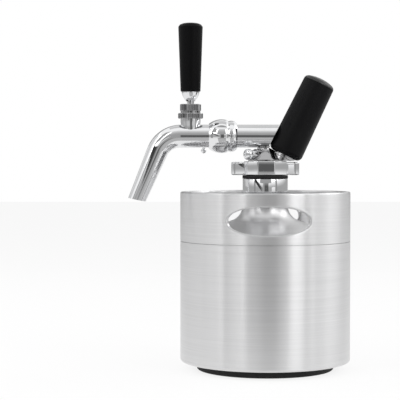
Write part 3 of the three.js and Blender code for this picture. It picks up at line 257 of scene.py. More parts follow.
def bore(piece, radius, low, high, place, steps):
    """Cut a round hole along the axis of a place."""
    rod = turn("cutter", [(0, low), (radius, low), (radius, high), (0, high)], steps)
    combine(piece, lay(rod, place), "DIFFERENCE")


# %% Give a piece its finish and its body
HEAD = "dispenser_head"
made = []


def finish(piece, material, body, node, crease=None):
    """Give a piece its finish, let it ride on its body and stand for its node."""
    if crease:
        smooth(piece, crease)
    piece.data.materials.clear()
    piece.data.materials.append(material)
    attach(piece, body)
    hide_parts(node)
    made.append(piece)
    print(piece.name, len(piece.data.polygons), "faces")


def make(name, outline, steps, place, material, body, slot, node, edge=0):
    """Turn a piece, lay it in place and finish it."""
    finish(lay(turn(name, outline, steps, edge), place), material, body, node)


# %% [markdown]
# ## Finishes
#
# A finish is more than a colour. Stainless sheet carries the fine lines of the
# brushing belt, polished fittings carry hairline scratches and finger marks,
# and moulded plastic has a faint texture that breaks up its shine. Each of
# these effects is a node group, built once and used at several strengths.

# %% Add a node, and set or link its inputs
def put(tree, socket, value):
    """Give a socket a value, or link another socket to it."""
    if isinstance(value, bpy.types.NodeSocket):
        tree.links.new(value, socket)
    else:
        socket.default_value = value


def add_node(tree, kind, inputs, output=0, **settings):
    """Add a node, put its inputs in and give back one of its outputs."""
    node = tree.nodes.new("ShaderNode" + kind)
    for label, value in settings.items():
        setattr(node, label, value)
    for label, value in inputs.items():
        put(tree, node.inputs[label], value)
    return node.outputs[output]


def math_node(tree, operation, first, second):
    return add_node(tree, "Math", {0: first, 1: second}, operation=operation)


def noise_node(tree, vector, scale, detail, roughness=0.5):
    inputs = {"Vector": vector, "Scale": scale, "Detail": detail, "Roughness": roughness}
    return add_node(tree, "TexNoise", inputs, "Fac")


def lines_node(tree, vector, stretch, detail, roughness):
    """Noise that is stretched into lines."""
    stretched = add_node(tree, "Mapping", {"Vector": vector, "Scale": stretch}, "Vector")
    return noise_node(tree, stretched, 1, detail, roughness)


def ramp_node(tree, factor, low, high, from_value, to_value):
    """A clamped change from one value to another as the factor rises."""
    span = {"From Min": low, "From Max": high, "To Min": from_value, "To Max": to_value}
    return add_node(tree, "MapRange", {**span, "Value": factor}, "Result")


def share_node(tree, first, second, share):
    """A share of the first value and the rest of the second."""
    part = math_node(tree, "MULTIPLY", first, share)
    return math_node(tree, "ADD", part, math_node(tree, "MULTIPLY", second, 1 - share))


# %% Start a node group, and end it with its height, roughness and one more
def start_group(name, last_output, **floats):
    group = bpy.data.node_groups.new(name, "ShaderNodeTree")
    sockets = group.interface
    sockets.new_socket("Vector", in_out="INPUT", socket_type="NodeSocketVector")
    for label, value in floats.items():
        socket = sockets.new_socket(label, in_out="INPUT", socket_type="NodeSocketFloat")
        socket.default_value = value
    for label in ("Height", "Roughness", last_output):
        sockets.new_socket(label, in_out="OUTPUT", socket_type="NodeSocketFloat")
    return group, group.nodes.new("NodeGroupInput").outputs


def end_group(group, given, height, change, last):
    """The roughness is the given one, plus a change times the given spread."""
    change = math_node(group, "MULTIPLY", change, given["Spread"])
    rough = math_node(group, "ADD", given["Roughness"], change)
    end = group.nodes.new("NodeGroupOutput")
    for socket, value in zip(end.inputs, (height, rough, last)):
        put(group, socket, value)
    return group


# %% Group: lines left by a brushing belt that runs round the keg
def build_brushed_lines():
    group, given = start_group("brushed_lines", "Tone", Roughness=0.3, Spread=0.1)
    vector = given["Vector"]
    fine = lines_node(group, vector, (6, 6, 2600), 4, 0.7)
    coarse = lines_node(group, vector, (9, 9, 420), 3, 0.6)
    blotch = noise_node(group, vector, 22, 3)
    both = share_node(group, fine, coarse, 0.6)
    change = math_node(group, "SUBTRACT", share_node(group, both, blotch, 0.7), 0.5)
    tone = ramp_node(group, both, 0.35, 0.65, 0.94, 1.04)
    return end_group(group, given, both, change, tone)


BRUSHED_LINES = build_brushed_lines()

# %% Group: hairlines and finger marks on a polished fitting
def build_handling():
    group, given = start_group("handling_marks", "Tone", Roughness=0.06, Spread=0.06)
    vector = given["Vector"]
    marks = ramp_node(group, noise_node(group, vector, 60, 4, 0.6), 0.5, 0.72, 0, 1)
    one_way = lines_node(group, vector, (900, 60, 60), 2, 0.5)
    other_way = lines_node(group, vector, (60, 70, 1100), 2, 0.5)
    lines = math_node(group, "MULTIPLY", one_way, other_way)
    hair = ramp_node(group, lines, 0.3, 0.42, 0, 1)
    wear = share_node(group, marks, hair, 0.7)
    tone = ramp_node(group, wear, 0, 1, 1, 0.95)
    return end_group(group, given, lines, wear, tone)


HANDLING = build_handling()

# %% Group: the faint texture of a moulding, with dust in broad patches
def build_moulded():
    group, given = start_group(
        "moulded_skin", "Dust", Grain=900, Roughness=0.4, Spread=0.12
    )
    grain = noise_node(group, given["Vector"], given["Grain"], 2)
    broad = noise_node(group, given["Vector"], 45, 4, 0.6)
    change = math_node(group, "SUBTRACT", broad, 0.5)
    dust = ramp_node(group, broad, 0.52, 0.8, 0, 1)
    return end_group(group, given, grain, change, dust)


MOULDED = build_moulded()
print(len(bpy.data.node_groups), "node groups")

# %% [markdown]
# A material joins one of these groups to a Principled shader. The group's
# height goes through a Bump node, its roughness goes straight in, and its tone
# darkens or lightens the base colour a little.

# %% Build a metal and a moulded material
def start_material(name, colour, group, **values):
    """A new material, its shader, and the outputs of a group over its surface."""
    material = bpy.data.materials.new(name)
    material.use_nodes = True
    tree = material.node_tree
    shader = tree.nodes["Principled BSDF"].inputs
    shader["Base Color"].default_value = (*colour, 1)
    node = tree.nodes.new("ShaderNodeGroup")
    node.node_tree = group
    put(tree, node.inputs["Vector"], add_node(tree, "TexCoord", {}, "Object"))
    for label, value in values.items():
        put(tree, node.inputs[label], value)
    return material, shader, node.outputs


def link_surface(tree, shader, base, marks, bump_strength, depth):
    """Link the base colour, the roughness, and the height as a bump."""
    bump = {"Strength": bump_strength, "Distance": depth * MM, "Height": marks["Height"]}
    put(tree, shader["Base Color"], base)
    put(tree, shader["Roughness"], marks["Roughness"])
    put(tree, shader["Normal"], add_node(tree, "Bump", bump, "Normal"))


def metal(name, colour, group, roughness, spread, bump_strength, depth=0.02, brushed=0):
    material, shader, marks = start_material(
        name, colour, group, Roughness=roughness, Spread=spread
    )
    tree = material.node_tree
    tint = {"Factor": 1, "A": (*colour, 1), "B": marks["Tone"]}
    base = add_node(tree, "Mix", tint, "Result", data_type="RGBA", blend_type="MULTIPLY")
    shader["Metallic"].default_value = 1
    link_surface(tree, shader, base, marks, bump_strength, depth)
    if brushed:
        shader["Anisotropic"].default_value = brushed
        shader["Anisotropic Rotation"].default_value = 0.25
        tangent = add_node(tree, "Tangent", {}, "Tangent", direction_type="RADIAL", axis="Z")
        put(tree, shader["Tangent"], tangent)
    return material


DUSTY = 0.25
MOULD_DEPTH = 0.03


def moulding(name, colour, dust_colour, grain, roughness, spread, bump_strength, gloss=0.5):
    material, shader, marks = start_material(
        name, colour, MOULDED, Grain=grain, Roughness=roughness, Spread=spread
    )
    tree = material.node_tree
    dust = math_node(tree, "MULTIPLY", marks["Dust"], DUSTY)
    dusted = {"Factor": dust, "A": (*colour, 1), "B": (*dust_colour, 1)}
    base = add_node(tree, "Mix", dusted, "Result", data_type="RGBA")
    shader["Specular IOR Level"].default_value = gloss
    link_surface(tree, shader, base, marks, bump_strength, MOULD_DEPTH)
    return material


# %% The finishes of this keg
brushed_steel = metal(
    "brushed_steel", (0.84, 0.84, 0.845), BRUSHED_LINES, 0.36, 0.07, 0.05, 0.01, brushed=1
)
spun_steel = metal(
    "spun_steel", (0.62, 0.62, 0.625), BRUSHED_LINES, 0.33, 0.06, 0.04, 0.01, brushed=0.2
)
cast_steel = metal("cast_steel", (0.42, 0.42, 0.425), HANDLING, 0.14, 0.08, 0.05)
chrome = metal("chrome", (0.86, 0.865, 0.875), HANDLING, 0.045, 0.08, 0.05)
turned_steel = metal("turned_steel", (0.6, 0.6, 0.61), HANDLING, 0.26, 0.12, 0.1)
cartridge_silver = metal("cartridge_silver", (0.56, 0.57, 0.58), HANDLING, 0.24, 0.14, 0.08)
cup_aluminium = metal("cup_aluminium", (0.7, 0.7, 0.71), HANDLING, 0.3, 0.14, 0.12)
insert_brass = metal("insert_brass", (0.72, 0.52, 0.24), HANDLING, 0.28, 0.16, 0.1)
handle_black = moulding(
    "handle_black", (0.0035, 0.0035, 0.0038), (0.008, 0.008, 0.008), 700, 0.35, 0.1, 0.06, 0.08
)
sleeve_black = moulding(
    "sleeve_black", (0.0055, 0.0055, 0.006), (0.011, 0.011, 0.012), 1400, 0.42, 0.12, 0.2, 0.09
)
# The cap's black is glossier than the sleeve's, and lighter in colour as a painted highlight.
cap_black_painted_highlight = moulding(
    "cap_black_painted_highlight", (0.012, 0.012, 0.0125), (0.02, 0.02, 0.021), 1400, 0.34, 0.1, 0.15, 0.6
)
rubber_black = moulding(
    "rubber_black", (0.014, 0.014, 0.014), (0.035, 0.035, 0.034), 800, 0.7, 0.15, 0.3, 0.25
)
washer_nylon = moulding(
    "washer_nylon", (0.72, 0.7, 0.62), (0.6, 0.58, 0.5), 500, 0.45, 0.12, 0.15
)
print(len(bpy.data.materials), "materials")

# %% [markdown]
# ## The vessel
#
# The vessel is a deep-drawn steel can: a straight wall, a small radius at the
# foot and a bottom that is dished up so that it stands flat. Its outline is
# drawn inside and out, so that the wall has its real thickness, and turned.

# %% Turn the vessel
KEG_RADIUS = 92
SHEET = 1.2
PAD_TOP = 8.7
FOOT_ROUND = 3.2
SEAM = 139.4
WALL_TOP = SEAM - 0.6

foot = (KEG_RADIUS - FOOT_ROUND, PAD_TOP + FOOT_ROUND)
vessel_outline = (
    [(0, 12.2), (56.5, 12.2)]
    + arc(56.5, 10.2, 2, 90, 62, 3)
    + arc(66, 10.7, 2, -118, -90, 3)
    + arc(*foot, FOOT_ROUND, -90, 0, 8)
    + [(KEG_RADIUS, 60), (KEG_RADIUS, 100), (KEG_RADIUS, WALL_TOP)]
    + [(KEG_RADIUS - SHEET, WALL_TOP), (KEG_RADIUS - SHEET, 60)]
    + arc(*foot, FOOT_ROUND - SHEET, 0, -90, 6)
    + [(64, PAD_TOP + SHEET), (57.4, 13.4), (0, 13.4)]
)
make("keg_wall", vessel_outline, 160, MIDDLE, brushed_steel, "keg", "brushed_shell", "keg_body")

# %% [markdown]
# The rubber pad under the keg is moulded, with a soft chamfer and a grip
# groove. It is set in from the wall, so the keg seems to float a little.

# %% Turn the base pad
pad_outline = [
    (0, 0), (58, 0), (58.4, 1), (61.6, 1), (62, 0),
    (72.9, 0), (74.1, 1.2), (74.1, 7.6), (73.3, 8.4), (0, 8.4),
]
make("foot_pad", pad_outline, 128, MIDDLE, rubber_black, "keg", "rubber_black", "base_pad", 0.3)

# %% [markdown]
# ## The carrying collar
#
# The collar is a strip of sheet steel. The maker punches the two finger holes,
# presses their edges inwards so that they don't cut, rolls the strip into a
# ring and rolls its top edge over. The same order works in Blender. A rounded
# outline becomes the hole, and a bridge joins it to the edge of the strip. The
# hole's edge is extruded inwards as the pressed lip. The flat pattern is then
# wrapped round the keg's radius.

# %% Outlines for the hole and for the strip round it
HOLE_Z = 163.6
HOLE_HALF_WIDTH = 43.3
HOLE_HALF_HEIGHT = 14.6
HOLE_POWER = 2.3
HOLE_POINTS = 144
STRIP_TOP = 190.7
HALF_STRIP = KEG_RADIUS * math.pi / 2
PANEL_HALF_WIDTH = 66
LIP_ROUND = 1.9
LIP_DEPTH = 4.4
NEVER_ZERO = 1e-9


def rounded(value):
    """A sine or cosine, bent so that the oval's corners fill out."""
    return math.copysign(abs(value) ** (2 / HOLE_POWER), value)


def hole_outline(margin):
    """The rounded hole as (along the flat strip, height)."""
    points = []
    for index in range(HOLE_POINTS):
        angle = 2 * math.pi * index / HOLE_POINTS
        seen = (HOLE_HALF_WIDTH + margin) * rounded(math.cos(angle))
        up = (HOLE_HALF_HEIGHT + margin) * rounded(math.sin(angle))
        points.append((KEG_RADIUS * math.asin(seen / KEG_RADIUS), HOLE_Z + up))
    return points


def panel_outline():
    """The same number of points on the panel's edge, with one at each corner."""
    low, high = SEAM - HOLE_Z, STRIP_TOP - HOLE_Z
    points = []
    for x, z in hole_outline(0):
        z = z - HOLE_Z
        reach = min(
            PANEL_HALF_WIDTH / max(abs(x), NEVER_ZERO),
            (high if z > 0 else -low) / max(abs(z), NEVER_ZERO),
        )
        points.append([x * reach, z * reach])
    for side in (-PANEL_HALF_WIDTH, PANEL_HALF_WIDTH):
        for end in (low, high):
            nearest = min(points, key=lambda point: math.dist(point, (side, end)))
            nearest[:] = (side, end)
    return [(x, HOLE_Z + z) for x, z in points]


def closed_outline(name, points):
    piece = draw_outline(name, points + points[:1])
    weld()
    leave_edit()
    return piece


# %% Draw both, bridge them, and press the edge of the hole inwards
BEYOND_HOLE = 48
ON_OUTLINE = 0.004
PRESS_ANGLES = (15, 30, 45, 60, 75, 90)


def select_where(piece, test):
    """Select the vertices whose place in millimetres passes a test, in edit mode."""
    bpy.ops.object.mode_set(mode="EDIT")
    bpy.ops.mesh.select_mode(type="VERT")
    bpy.ops.mesh.select_all(action="DESELECT")
    leave_edit()
    for vertex in piece.data.vertices:
        vertex.select = bool(test(vertex.co / MM))
    bpy.ops.object.mode_set(mode="EDIT")


def on_hole(at):
    """Whether a point of the flat strip lies on the hole's outline."""
    across = KEG_RADIUS * math.sin(at.x / KEG_RADIUS) / (HOLE_HALF_WIDTH + LIP_ROUND)
    up = (at.z - HOLE_Z) / (HOLE_HALF_HEIGHT + LIP_ROUND)
    off = abs(across) ** HOLE_POWER + abs(up) ** HOLE_POWER - 1
    return abs(at.x) < BEYOND_HOLE and abs(off) < ON_OUTLINE


collar = closed_outline("carry_ring", hole_outline(LIP_ROUND))
edge = closed_outline("panel_edge", panel_outline())
select_only(collar, edge)
bpy.ops.object.join()
edit_all()
bpy.ops.mesh.bridge_edge_loops(number_cuts=4, interpolation="LINEAR")
select_where(collar, on_hole)
press = [
    (LIP_ROUND * (1 - math.sin(angle)), LIP_ROUND * (1 - math.cos(angle)))
    for angle in map(math.radians, PRESS_ANGLES)
]
before, depth_before = LIP_ROUND, 0
for margin, depth in press + [(0, LIP_DEPTH)]:
    bpy.ops.mesh.extrude_region_move()
    narrower = (HOLE_HALF_WIDTH + margin) / (HOLE_HALF_WIDTH + before)
    lower = (HOLE_HALF_HEIGHT + margin) / (HOLE_HALF_HEIGHT + before)
    bpy.ops.transform.resize(value=(narrower, 1, lower), center_override=(0, 0, HOLE_Z * MM))
    bpy.ops.transform.translate(value=(0, (depth - depth_before) * MM, 0))
    before, depth_before = margin, depth

# %% Lengthen the strip at both ends until it covers half the keg
END_STEPS = 18
step = (HALF_STRIP - PANEL_HALF_WIDTH) / END_STEPS
for side in (1, -1):
    select_where(collar, lambda at: abs(at.x - side * PANEL_HALF_WIDTH) < TOUCHING)
    for _ in range(END_STEPS):
        bpy.ops.mesh.extrude_region_move(
            TRANSFORM_OT_translate={"value": (side * step * MM, 0, 0)}
        )
leave_edit()
print("flat strip:", len(collar.data.polygons), "faces")

# %% [markdown]
# Simple Deform bends the flat strip into half a ring, as the rollers do. A copy
# turned by half a circle makes the other side. The top edge is then rolled
# inwards, and Solidify gives the sheet its thickness.

# %% Bend the strip and copy it
select_only(collar)
bend = collar.modifiers.new("rollers", "SIMPLE_DEFORM")
bend.deform_method = "BEND"
bend.deform_axis = "Z"
bend.angle = math.pi
bpy.ops.object.modifier_apply(modifier=bend.name)
lay(collar, place_at(0, -KEG_RADIUS))
select_only(collar)
bpy.ops.object.duplicate()
other_half = bpy.context.active_object
lay(other_half, Matrix.Rotation(math.pi, 4, "Z"))
select_only(collar, other_half)
bpy.ops.object.join()
edit_all()
weld(TOUCHING)
face_outwards()

# %% Roll the rim and give the sheet its thickness
ROLL = 1.6
SHEET_CREASE = 40


def thicken(piece, thickness):
    """Give a sheet its thickness, towards the inside."""
    select_only(piece)
    wall = piece.modifiers.new("sheet", "SOLIDIFY")
    wall.thickness = thickness * MM
    wall.offset = -1
    wall.use_even_offset = True
    bpy.ops.object.modifier_apply(modifier=wall.name)


rim = arc(KEG_RADIUS - ROLL, STRIP_TOP, ROLL, 0, 180, 10)[1:]
rim.append((KEG_RADIUS - 2 * ROLL, STRIP_TOP - 1.2))
select_where(collar, lambda at: abs(at.z - STRIP_TOP) < TOUCHING)
before = (KEG_RADIUS, STRIP_TOP)
for point in rim:
    lift = (0, 0, (point[1] - before[1]) * MM)
    bpy.ops.mesh.extrude_region_move(TRANSFORM_OT_translate={"value": lift})
    shrink = point[0] / before[0]
    bpy.ops.transform.resize(value=(shrink, shrink, 1), center_override=(0, 0, 0))
    before = point
face_outwards()
thicken(collar, SHEET)
finish(collar, brushed_steel, "keg", "carry_collar", SHEET_CREASE)

# %% [markdown]
# ## The shoulder
#
# The keg's top is spun from sheet over a form: a skirt that sits inside the
# collar, a broad dome, and a throat that flares up to meet the neck. A Bezier
# curve gives the dome its fair line.

# %% Turn the shoulder
def bezier(first, second, third, fourth, steps):
    points = []
    for index in range(steps + 1):
        t = index / steps
        weights = ((1 - t) ** 3, 3 * t * (1 - t) ** 2, 3 * t * t * (1 - t), t**3)
        corners = list(zip(weights, (first, second, third, fourth)))
        points.append(tuple(sum(w * p[axis] for w, p in corners) for axis in (0, 1)))
    return points


SKIRT = KEG_RADIUS - SHEET - 0.3
dome = bezier((SKIRT, 142), (SKIRT, 150), (60.92, 154.4), (37.74, 160.61), 24)
throat = arc(42.4, 178, 18, 255, 180, 18)
shoulder = turn("keg_top", [(SKIRT, 131.4)] + dome + throat[1:], steps=160, closed=False)
thicken(shoulder, SHEET)
finish(shoulder, spun_steel, "keg", "keg_shoulder", SHEET_CREASE)

# %% [markdown]
# ## The neck
#
# A thick threaded ring is welded on the throat. The thread starts above a
# black seal. Its crests are rounded, because a thread for food has no sharp
# valleys that would hold dirt.

# %% Turn the neck and its seal
def crests(core, depth, pitch, start, count):
    """Thread crests, each with a flank up, a flat top and a flank down."""
    points = []
    for number in range(count):
        low = start + number * pitch
        top = core + depth
        points += [(core, low), (top, low + pitch * 0.3)]
        points += [(top, low + pitch * 0.5), (core, low + pitch * 0.8)]
    return points


neck_outline = [(19.5, 173.3), (22.9, 173.3), (22.9, 178.3), (24.4, 178.3), (24.4, 206.1)]
neck_outline += [(19.1, 206.1)] + crests(19.1, 0.8, 3.2, 210.5, 2)
neck_outline += [(19.1, 218.5), (16.4, 218.5), (16.4, 203.5), (19.5, 200.4)]
make("neck_tube", neck_outline, 112, MIDDLE, chrome, "keg", "chrome", "neck_ring", 0.35)

seal_outline = [(20.2, 206.4), (24.4, 206.4), (24.65, 206.8)]
seal_outline += [(24.65, 209.6), (24.4, 210), (20.2, 210)]
make("neck_seal", seal_outline, 96, MIDDLE, rubber_black, "keg", "rubber_black", "outer_seal", 0.15)

# %% [markdown]
# ## The winged ring
#
# The ring that clamps the head is a casting: an octagon for a spanner, with
# two rounded wings to turn by hand. The octagon is an eight-sided cylinder, and
# both wings are one round disc squeezed to a lens. Each is bevelled on its own.
# Then they are joined, and bored.

# %% Make the octagon and the wings
RING_LOW, RING_TOP = 210.3, 225.3
RING_SIDES = 8
OCTAGON_CORNER = 22.8 / math.cos(math.pi / RING_SIDES)
WING_TOP = RING_TOP - 0.8
WING_TIP = 73.7 / 2
WING_WIDTH = 19.2
PAST_EDGE = 4
CAST_CREASE = 25


def disc(name, sides, radius, low, high, turned=0):
    select_only()
    bpy.ops.mesh.primitive_cylinder_add(
        vertices=sides,
        radius=radius * MM,
        depth=(high - low) * MM,
        location=(0, 0, (high + low) / 2 * MM),
        rotation=(0, 0, turned),
    )
    piece = bpy.context.active_object
    piece.name = name
    return lay(piece, piece.matrix_world.copy())


ring = disc(
    "clamp_wings", RING_SIDES, OCTAGON_CORNER, RING_LOW, RING_TOP, math.pi / RING_SIDES
)
soften(ring, 0.9, 3)
wings = disc("wings", 72, WING_TIP, RING_LOW, WING_TOP)
edit_all()
squeeze = (1, WING_WIDTH / 2 / WING_TIP, 1)
bpy.ops.transform.resize(value=squeeze, center_override=(0, 0, 0))
leave_edit()
soften(wings, 1.5, 5)
combine(ring, wings)
bore(ring, 20.2, RING_LOW - PAST_EDGE, 223.3, MIDDLE, 96)
bore(ring, 16.9, 220, RING_TOP + PAST_EDGE, MIDDLE, 96)
finish(ring, chrome, "clamp_ring", "winged_ring", CAST_CREASE)

# %% [markdown]
# ## The head
#
# The head is one casting: a flat base, a cone up to a post, a boss for the
# relief valve and a leaning stub that carries the gas charger. Each is turned
# on its own axis and joined, then the room for the shank is cut across.

# %% Turn the parts of the casting and join them
HEAD_LOW = 225.6
SHANK_ROOM = 12.75
SLEEVE_ROOM = 19.9
NARROW_WAY = 3.4
WASTE = 60

cone = bezier((18.6, 227), (18.2, 227.9), (15.6, 230.4), (13.9, 232.5), 8)[1:]
cone += bezier((13.9, 232.5), (10.6, 236.4), (8.6, 237.4), (8.6, 239.9), 8)[1:]
cone_foot = [(0, HEAD_LOW), (18.6, HEAD_LOW), (18.6, 227)]
casting = turn("head_body", cone_foot + cone + [(8.6, 241.9), (0, 241.9)])
combine(casting, lay(turn("boss", [(0, 0), (6, 0), (6, 14.4), (5.4, 15), (0, 15)], 48), RELIEF))
bore(casting, SLEEVE_ROOM, -0.3, 91.4, CHARGER, 96)
stub_outline = [(0, -40), (11.4, -40), (11.4, -3.1), (12.9, -2.8), (13.2, -2.5)]
stub_outline += [(13.2, -0.9), (12.9, -0.6), (11.6, -0.6)] + crests(11.6, 0.5, 3.2, 2.7, 2)
stub_outline += [(11.6, 12.2), (11.3, 12.5), (9.7, 12.5), (9.7, 2), (0, 2)]
combine(casting, lay(turn("stub", stub_outline), CHARGER))

# %% Cut the base flat, and bore the ways for the shank, the gas and the drink
bore(casting, WASTE, HEAD_LOW - WASTE, HEAD_LOW, MIDDLE, 96)
bore(casting, SHANK_ROOM, -KEG_RADIUS, KEG_RADIUS, ALONG_X, 96)
bore(casting, 9.3, HEAD_LOW - PAST_EDGE, 231.6, MIDDLE, 48)
bore(casting, 4.9, 9.6, 20, RELIEF, 48)
bore(casting, NARROW_WAY, 220, 260, MIDDLE, 48)
finish(casting, cast_steel, HEAD, "head_casting", CAST_CREASE)

# %% [markdown]
# ## The shank and the coupling nut
#
# The shank is a tube that lies along X on the post. Its right end is mitred to
# stand clear of the leaning charger. The nut on its left end pulls the faucet
# on. Six notches round it take a hook spanner.

# %% Turn the shank
SHANK_RADIUS = 12.45
MITRE_SIDE = 92
MITRE_STAND = 19.2
CUT_CREASE = 30


def box(size, place):
    """A box of three sizes in millimetres, centred on its place."""
    select_only()
    scale = [side * MM for side in size]
    bpy.ops.mesh.primitive_cube_add(size=1, location=(0, 0, 0), scale=scale)
    return lay(bpy.context.active_object, place)


shank_outline = [(0, 40), (SHANK_RADIUS, 40), (SHANK_RADIUS, -30.3), (11.2, -30.3)]
shank_outline += crests(11.2, 0.5, 4.02, -48.39, 4)[::-1]
shank_outline += [(11.2, -50.4), (8.2, -50.4), (8.2, -36.4), (5.5, -36.4), (5.5, 3.5), (0, 3.5)]
shank = lay(turn("shank_tube", shank_outline, 112), ALONG_X)
mitre_place = place_at(MITRE_SIDE / 2 - MITRE_STAND)
mitre = box((MITRE_SIDE, MITRE_SIDE, 2 * MITRE_SIDE), mitre_place)
combine(shank, lay(mitre, CHARGER), "DIFFERENCE")
bore(shank, NARROW_WAY, 235, TAP_HEIGHT, MIDDLE, 48)
finish(shank, chrome, HEAD, "shank", CUT_CREASE)

# %% A fair curve through a few measured points
def fair_curve(points, steps=6):
    """Catmull-Rom: passes through each point, with no corner between."""
    padded = [points[0]] + list(points) + [points[-1]]
    line = []
    for a, b, c, d in zip(padded, padded[1:], padded[2:], padded[3:]):
        for index in range(steps):
            t = index / steps
            line.append(tuple(
                0.5 * (2 * b[k] + (c[k] - a[k]) * t
                       + (2 * a[k] - 5 * b[k] + 4 * c[k] - d[k]) * t * t
                       + (3 * b[k] - a[k] - 3 * c[k] + d[k]) * t**3)
                for k in (0, 1)
            ))
    return line + [tuple(points[-1])]


# %% Turn the nut and cut its notches
NUT_RADIUS = 18.4
NOTCHES = 6
NOTCH_RADIUS = 4.2
NOTCH_DEPTH = 1.1

wide_lobe = [(13.8, -61), (16.3, -56.6), (17.9, -51.9)]
wide_lobe += [(NUT_RADIUS, -47.4), (17.9, -43), (16.9, -40.8)]
small_lobe = [(16.2, -40.2), (16.7, -38.2), (16.8, -36.2), (16, -33.2), (13.8, -30.6)]
nut_outline = [(SHANK_ROOM, -61)] + fair_curve(wide_lobe) + fair_curve(small_lobe)
nut_outline += [(12, -30.6), (12, -52.3), (14.7, -52.3), (14.7, -56.5), (SHANK_ROOM, -56.5)]
nut = turn("coupling", nut_outline, 120)
for number in range(NOTCHES):
    outside = place_at(-(NUT_RADIUS + NOTCH_RADIUS - NOTCH_DEPTH))
    turned = Matrix.Rotation(number * 2 * math.pi / NOTCHES, 4, "Z") @ outside
    bore(nut, NOTCH_RADIUS, -65, -26, turned, 40)
lay(nut, ALONG_X)
finish(nut, chrome, "nut", "coupling_nut", CAST_CREASE)

# %% [markdown]
# ## The faucet
#
# The faucet is a tapering tube that bends down to the glass. A curve object
# has a thickness at each of its points, so one curve gives the outside and a
# thinner one gives the waterway. Both become meshes and are combined with the
# flange and with the bosses for the lever and the flow shaft.

# %% A bar along a curve
def wire(name, points, resolution):
    """A round bar through points of (x, y, z, radius), as a curve made into a mesh."""
    curve = bpy.data.curves.new(name, "CURVE")
    curve.dimensions = "3D"
    line = curve.splines.new("POLY")
    line.points.add(len(points) - 1)
    for point, (x, y, z, radius) in zip(line.points, points):
        point.co = (x * MM, y * MM, z * MM, 1)
        point.radius = radius
    curve.bevel_depth = MM
    curve.bevel_resolution = resolution
    curve.use_fill_caps = True
    piece = bpy.data.objects.new(name, curve)
    scene.collection.objects.link(piece)
    select_only(piece)
    bpy.ops.object.convert(target="MESH")
    return bpy.context.active_object


# %% A tapering tube along the faucet's axis
FAUCET_REAR = -52.6
BEND_START = -92.3
BEND_RADIUS = 26.6
BEND_ANGLE = math.radians(67)
BEND_LENGTH = BEND_RADIUS * BEND_ANGLE
SPOUT = 57
STRAIGHT = FAUCET_REAR - BEND_START
TAPERED = BEND_LENGTH + SPOUT
BEND_STEPS = 28
SPOUT_STEPS = 6
ROUND_SIDES = 34


def faucet_axis(distance):
    bent = min(max(distance - STRAIGHT, 0), BEND_LENGTH) / BEND_RADIUS
    beyond = max(distance - STRAIGHT - BEND_LENGTH, 0)
    along = min(distance, STRAIGHT) + BEND_RADIUS * math.sin(bent) + beyond * math.cos(bent)
    drop = BEND_RADIUS * (1 - math.cos(bent)) + beyond * math.sin(bent)
    return FAUCET_REAR - along, TAP_HEIGHT - drop


def tube_along(name, start, stop, wide, narrow):
    """A closed bar along the axis, from one radius at the bend to another at the tip."""
    bend_end = STRAIGHT + BEND_LENGTH
    stops = [start] + [STRAIGHT - back for back in (6, 4, 2)]
    stops += [STRAIGHT + BEND_LENGTH * k / BEND_STEPS for k in range(BEND_STEPS + 1)]
    stops += [bend_end + (stop - bend_end) * k / SPOUT_STEPS for k in range(1, SPOUT_STEPS + 1)]
    points = []
    for at in stops:
        x, z = faucet_axis(at)
        share = max(at - STRAIGHT, 0) / TAPERED
        points.append((x, 0, z, wide + (narrow - wide) * share))
    piece = wire(name, points, ROUND_SIDES)
    edit_all()
    weld()
    face_outwards()
    return piece


# %% Join the tube, the flange and the two bosses
LEVER_X = -80.95
FLOW_X = -65.7
LEVER = place_at(LEVER_X)
TO_THE_BACK = place_at(FLOW_X, 0, TAP_HEIGHT, (-90, "X"))

faucet = tube_along("tap_body", 0, STRAIGHT + TAPERED + 4, SHANK_RADIUS, 9.6)
flange_outline = [(0, -56.2), (14, -56.2), (14.4, -55.8), (14.4, -53), (14, -52.6), (0, -52.6)]
combine(faucet, lay(turn("flange", flange_outline), ALONG_X))
boss_outline = [(0, TAP_HEIGHT), (10.3, TAP_HEIGHT), (10.3, 264.2), (10.8, 267.8), (10.8, 270.8)]
boss_outline += [(10.5, 271.1), (9.9, 271.1), (9.9, 276.4), (9.6, 276.7), (0, 276.7)]
combine(faucet, lay(turn("lever_boss", boss_outline), LEVER))
flow_outline = [(0, 0), (4.2, 0), (4.2, 13.5), (3.9, 13.85), (0, 13.85)]
combine(faucet, lay(turn("flow_boss", flow_outline, 48), TO_THE_BACK))

# %% Cut the tip on a slant, bore the waterway, and open the bosses
TIP_SLANT = math.radians(12)
STEM_ROOM = 8.2
FLOW_ROOM = 2.3


def slice_off(piece, x, z, slant, fill):
    """Cut away what lies below a slanting plane, and stay in edit mode."""
    select_only(piece)
    edit_all()
    bpy.ops.mesh.bisect(
        plane_co=(x * MM, 0, z * MM),
        plane_no=(math.sin(slant), 0, math.cos(slant)),
        use_fill=fill,
        clear_inner=True,
    )


slice_off(faucet, *faucet_axis(STRAIGHT + TAPERED), TIP_SLANT, True)
leave_edit()
waterway = tube_along("waterway", 4.6, STRAIGHT + TAPERED + 8, 10, 7.7)
combine(faucet, waterway, "DIFFERENCE")
bore(faucet, STEM_ROOM, -61.2, -48.6, ALONG_X, 72)
bore(faucet, STEM_ROOM, TAP_HEIGHT, 272, LEVER, 72)
bore(faucet, 8.7, 270.475, 281, LEVER, 72)
bore(faucet, FLOW_ROOM, 0, 18, TO_THE_BACK, 40)
finish(faucet, chrome, HEAD, "faucet_body", CAST_CREASE)

# %% [markdown]
# ## The bonnet, the lever and the handle
#
# The bonnet holds the lever's ball down in the boss. It has a ridged collar, a
# groove and a ridged cap with a slot, in which the lever swings forward.

# %% Turn the bonnet and press its knurls
BONNET_RIDGES = 56
BONNET_TOP = 287.1
COLLAR_RADIUS, CAP_RADIUS = 13.5, 11.4


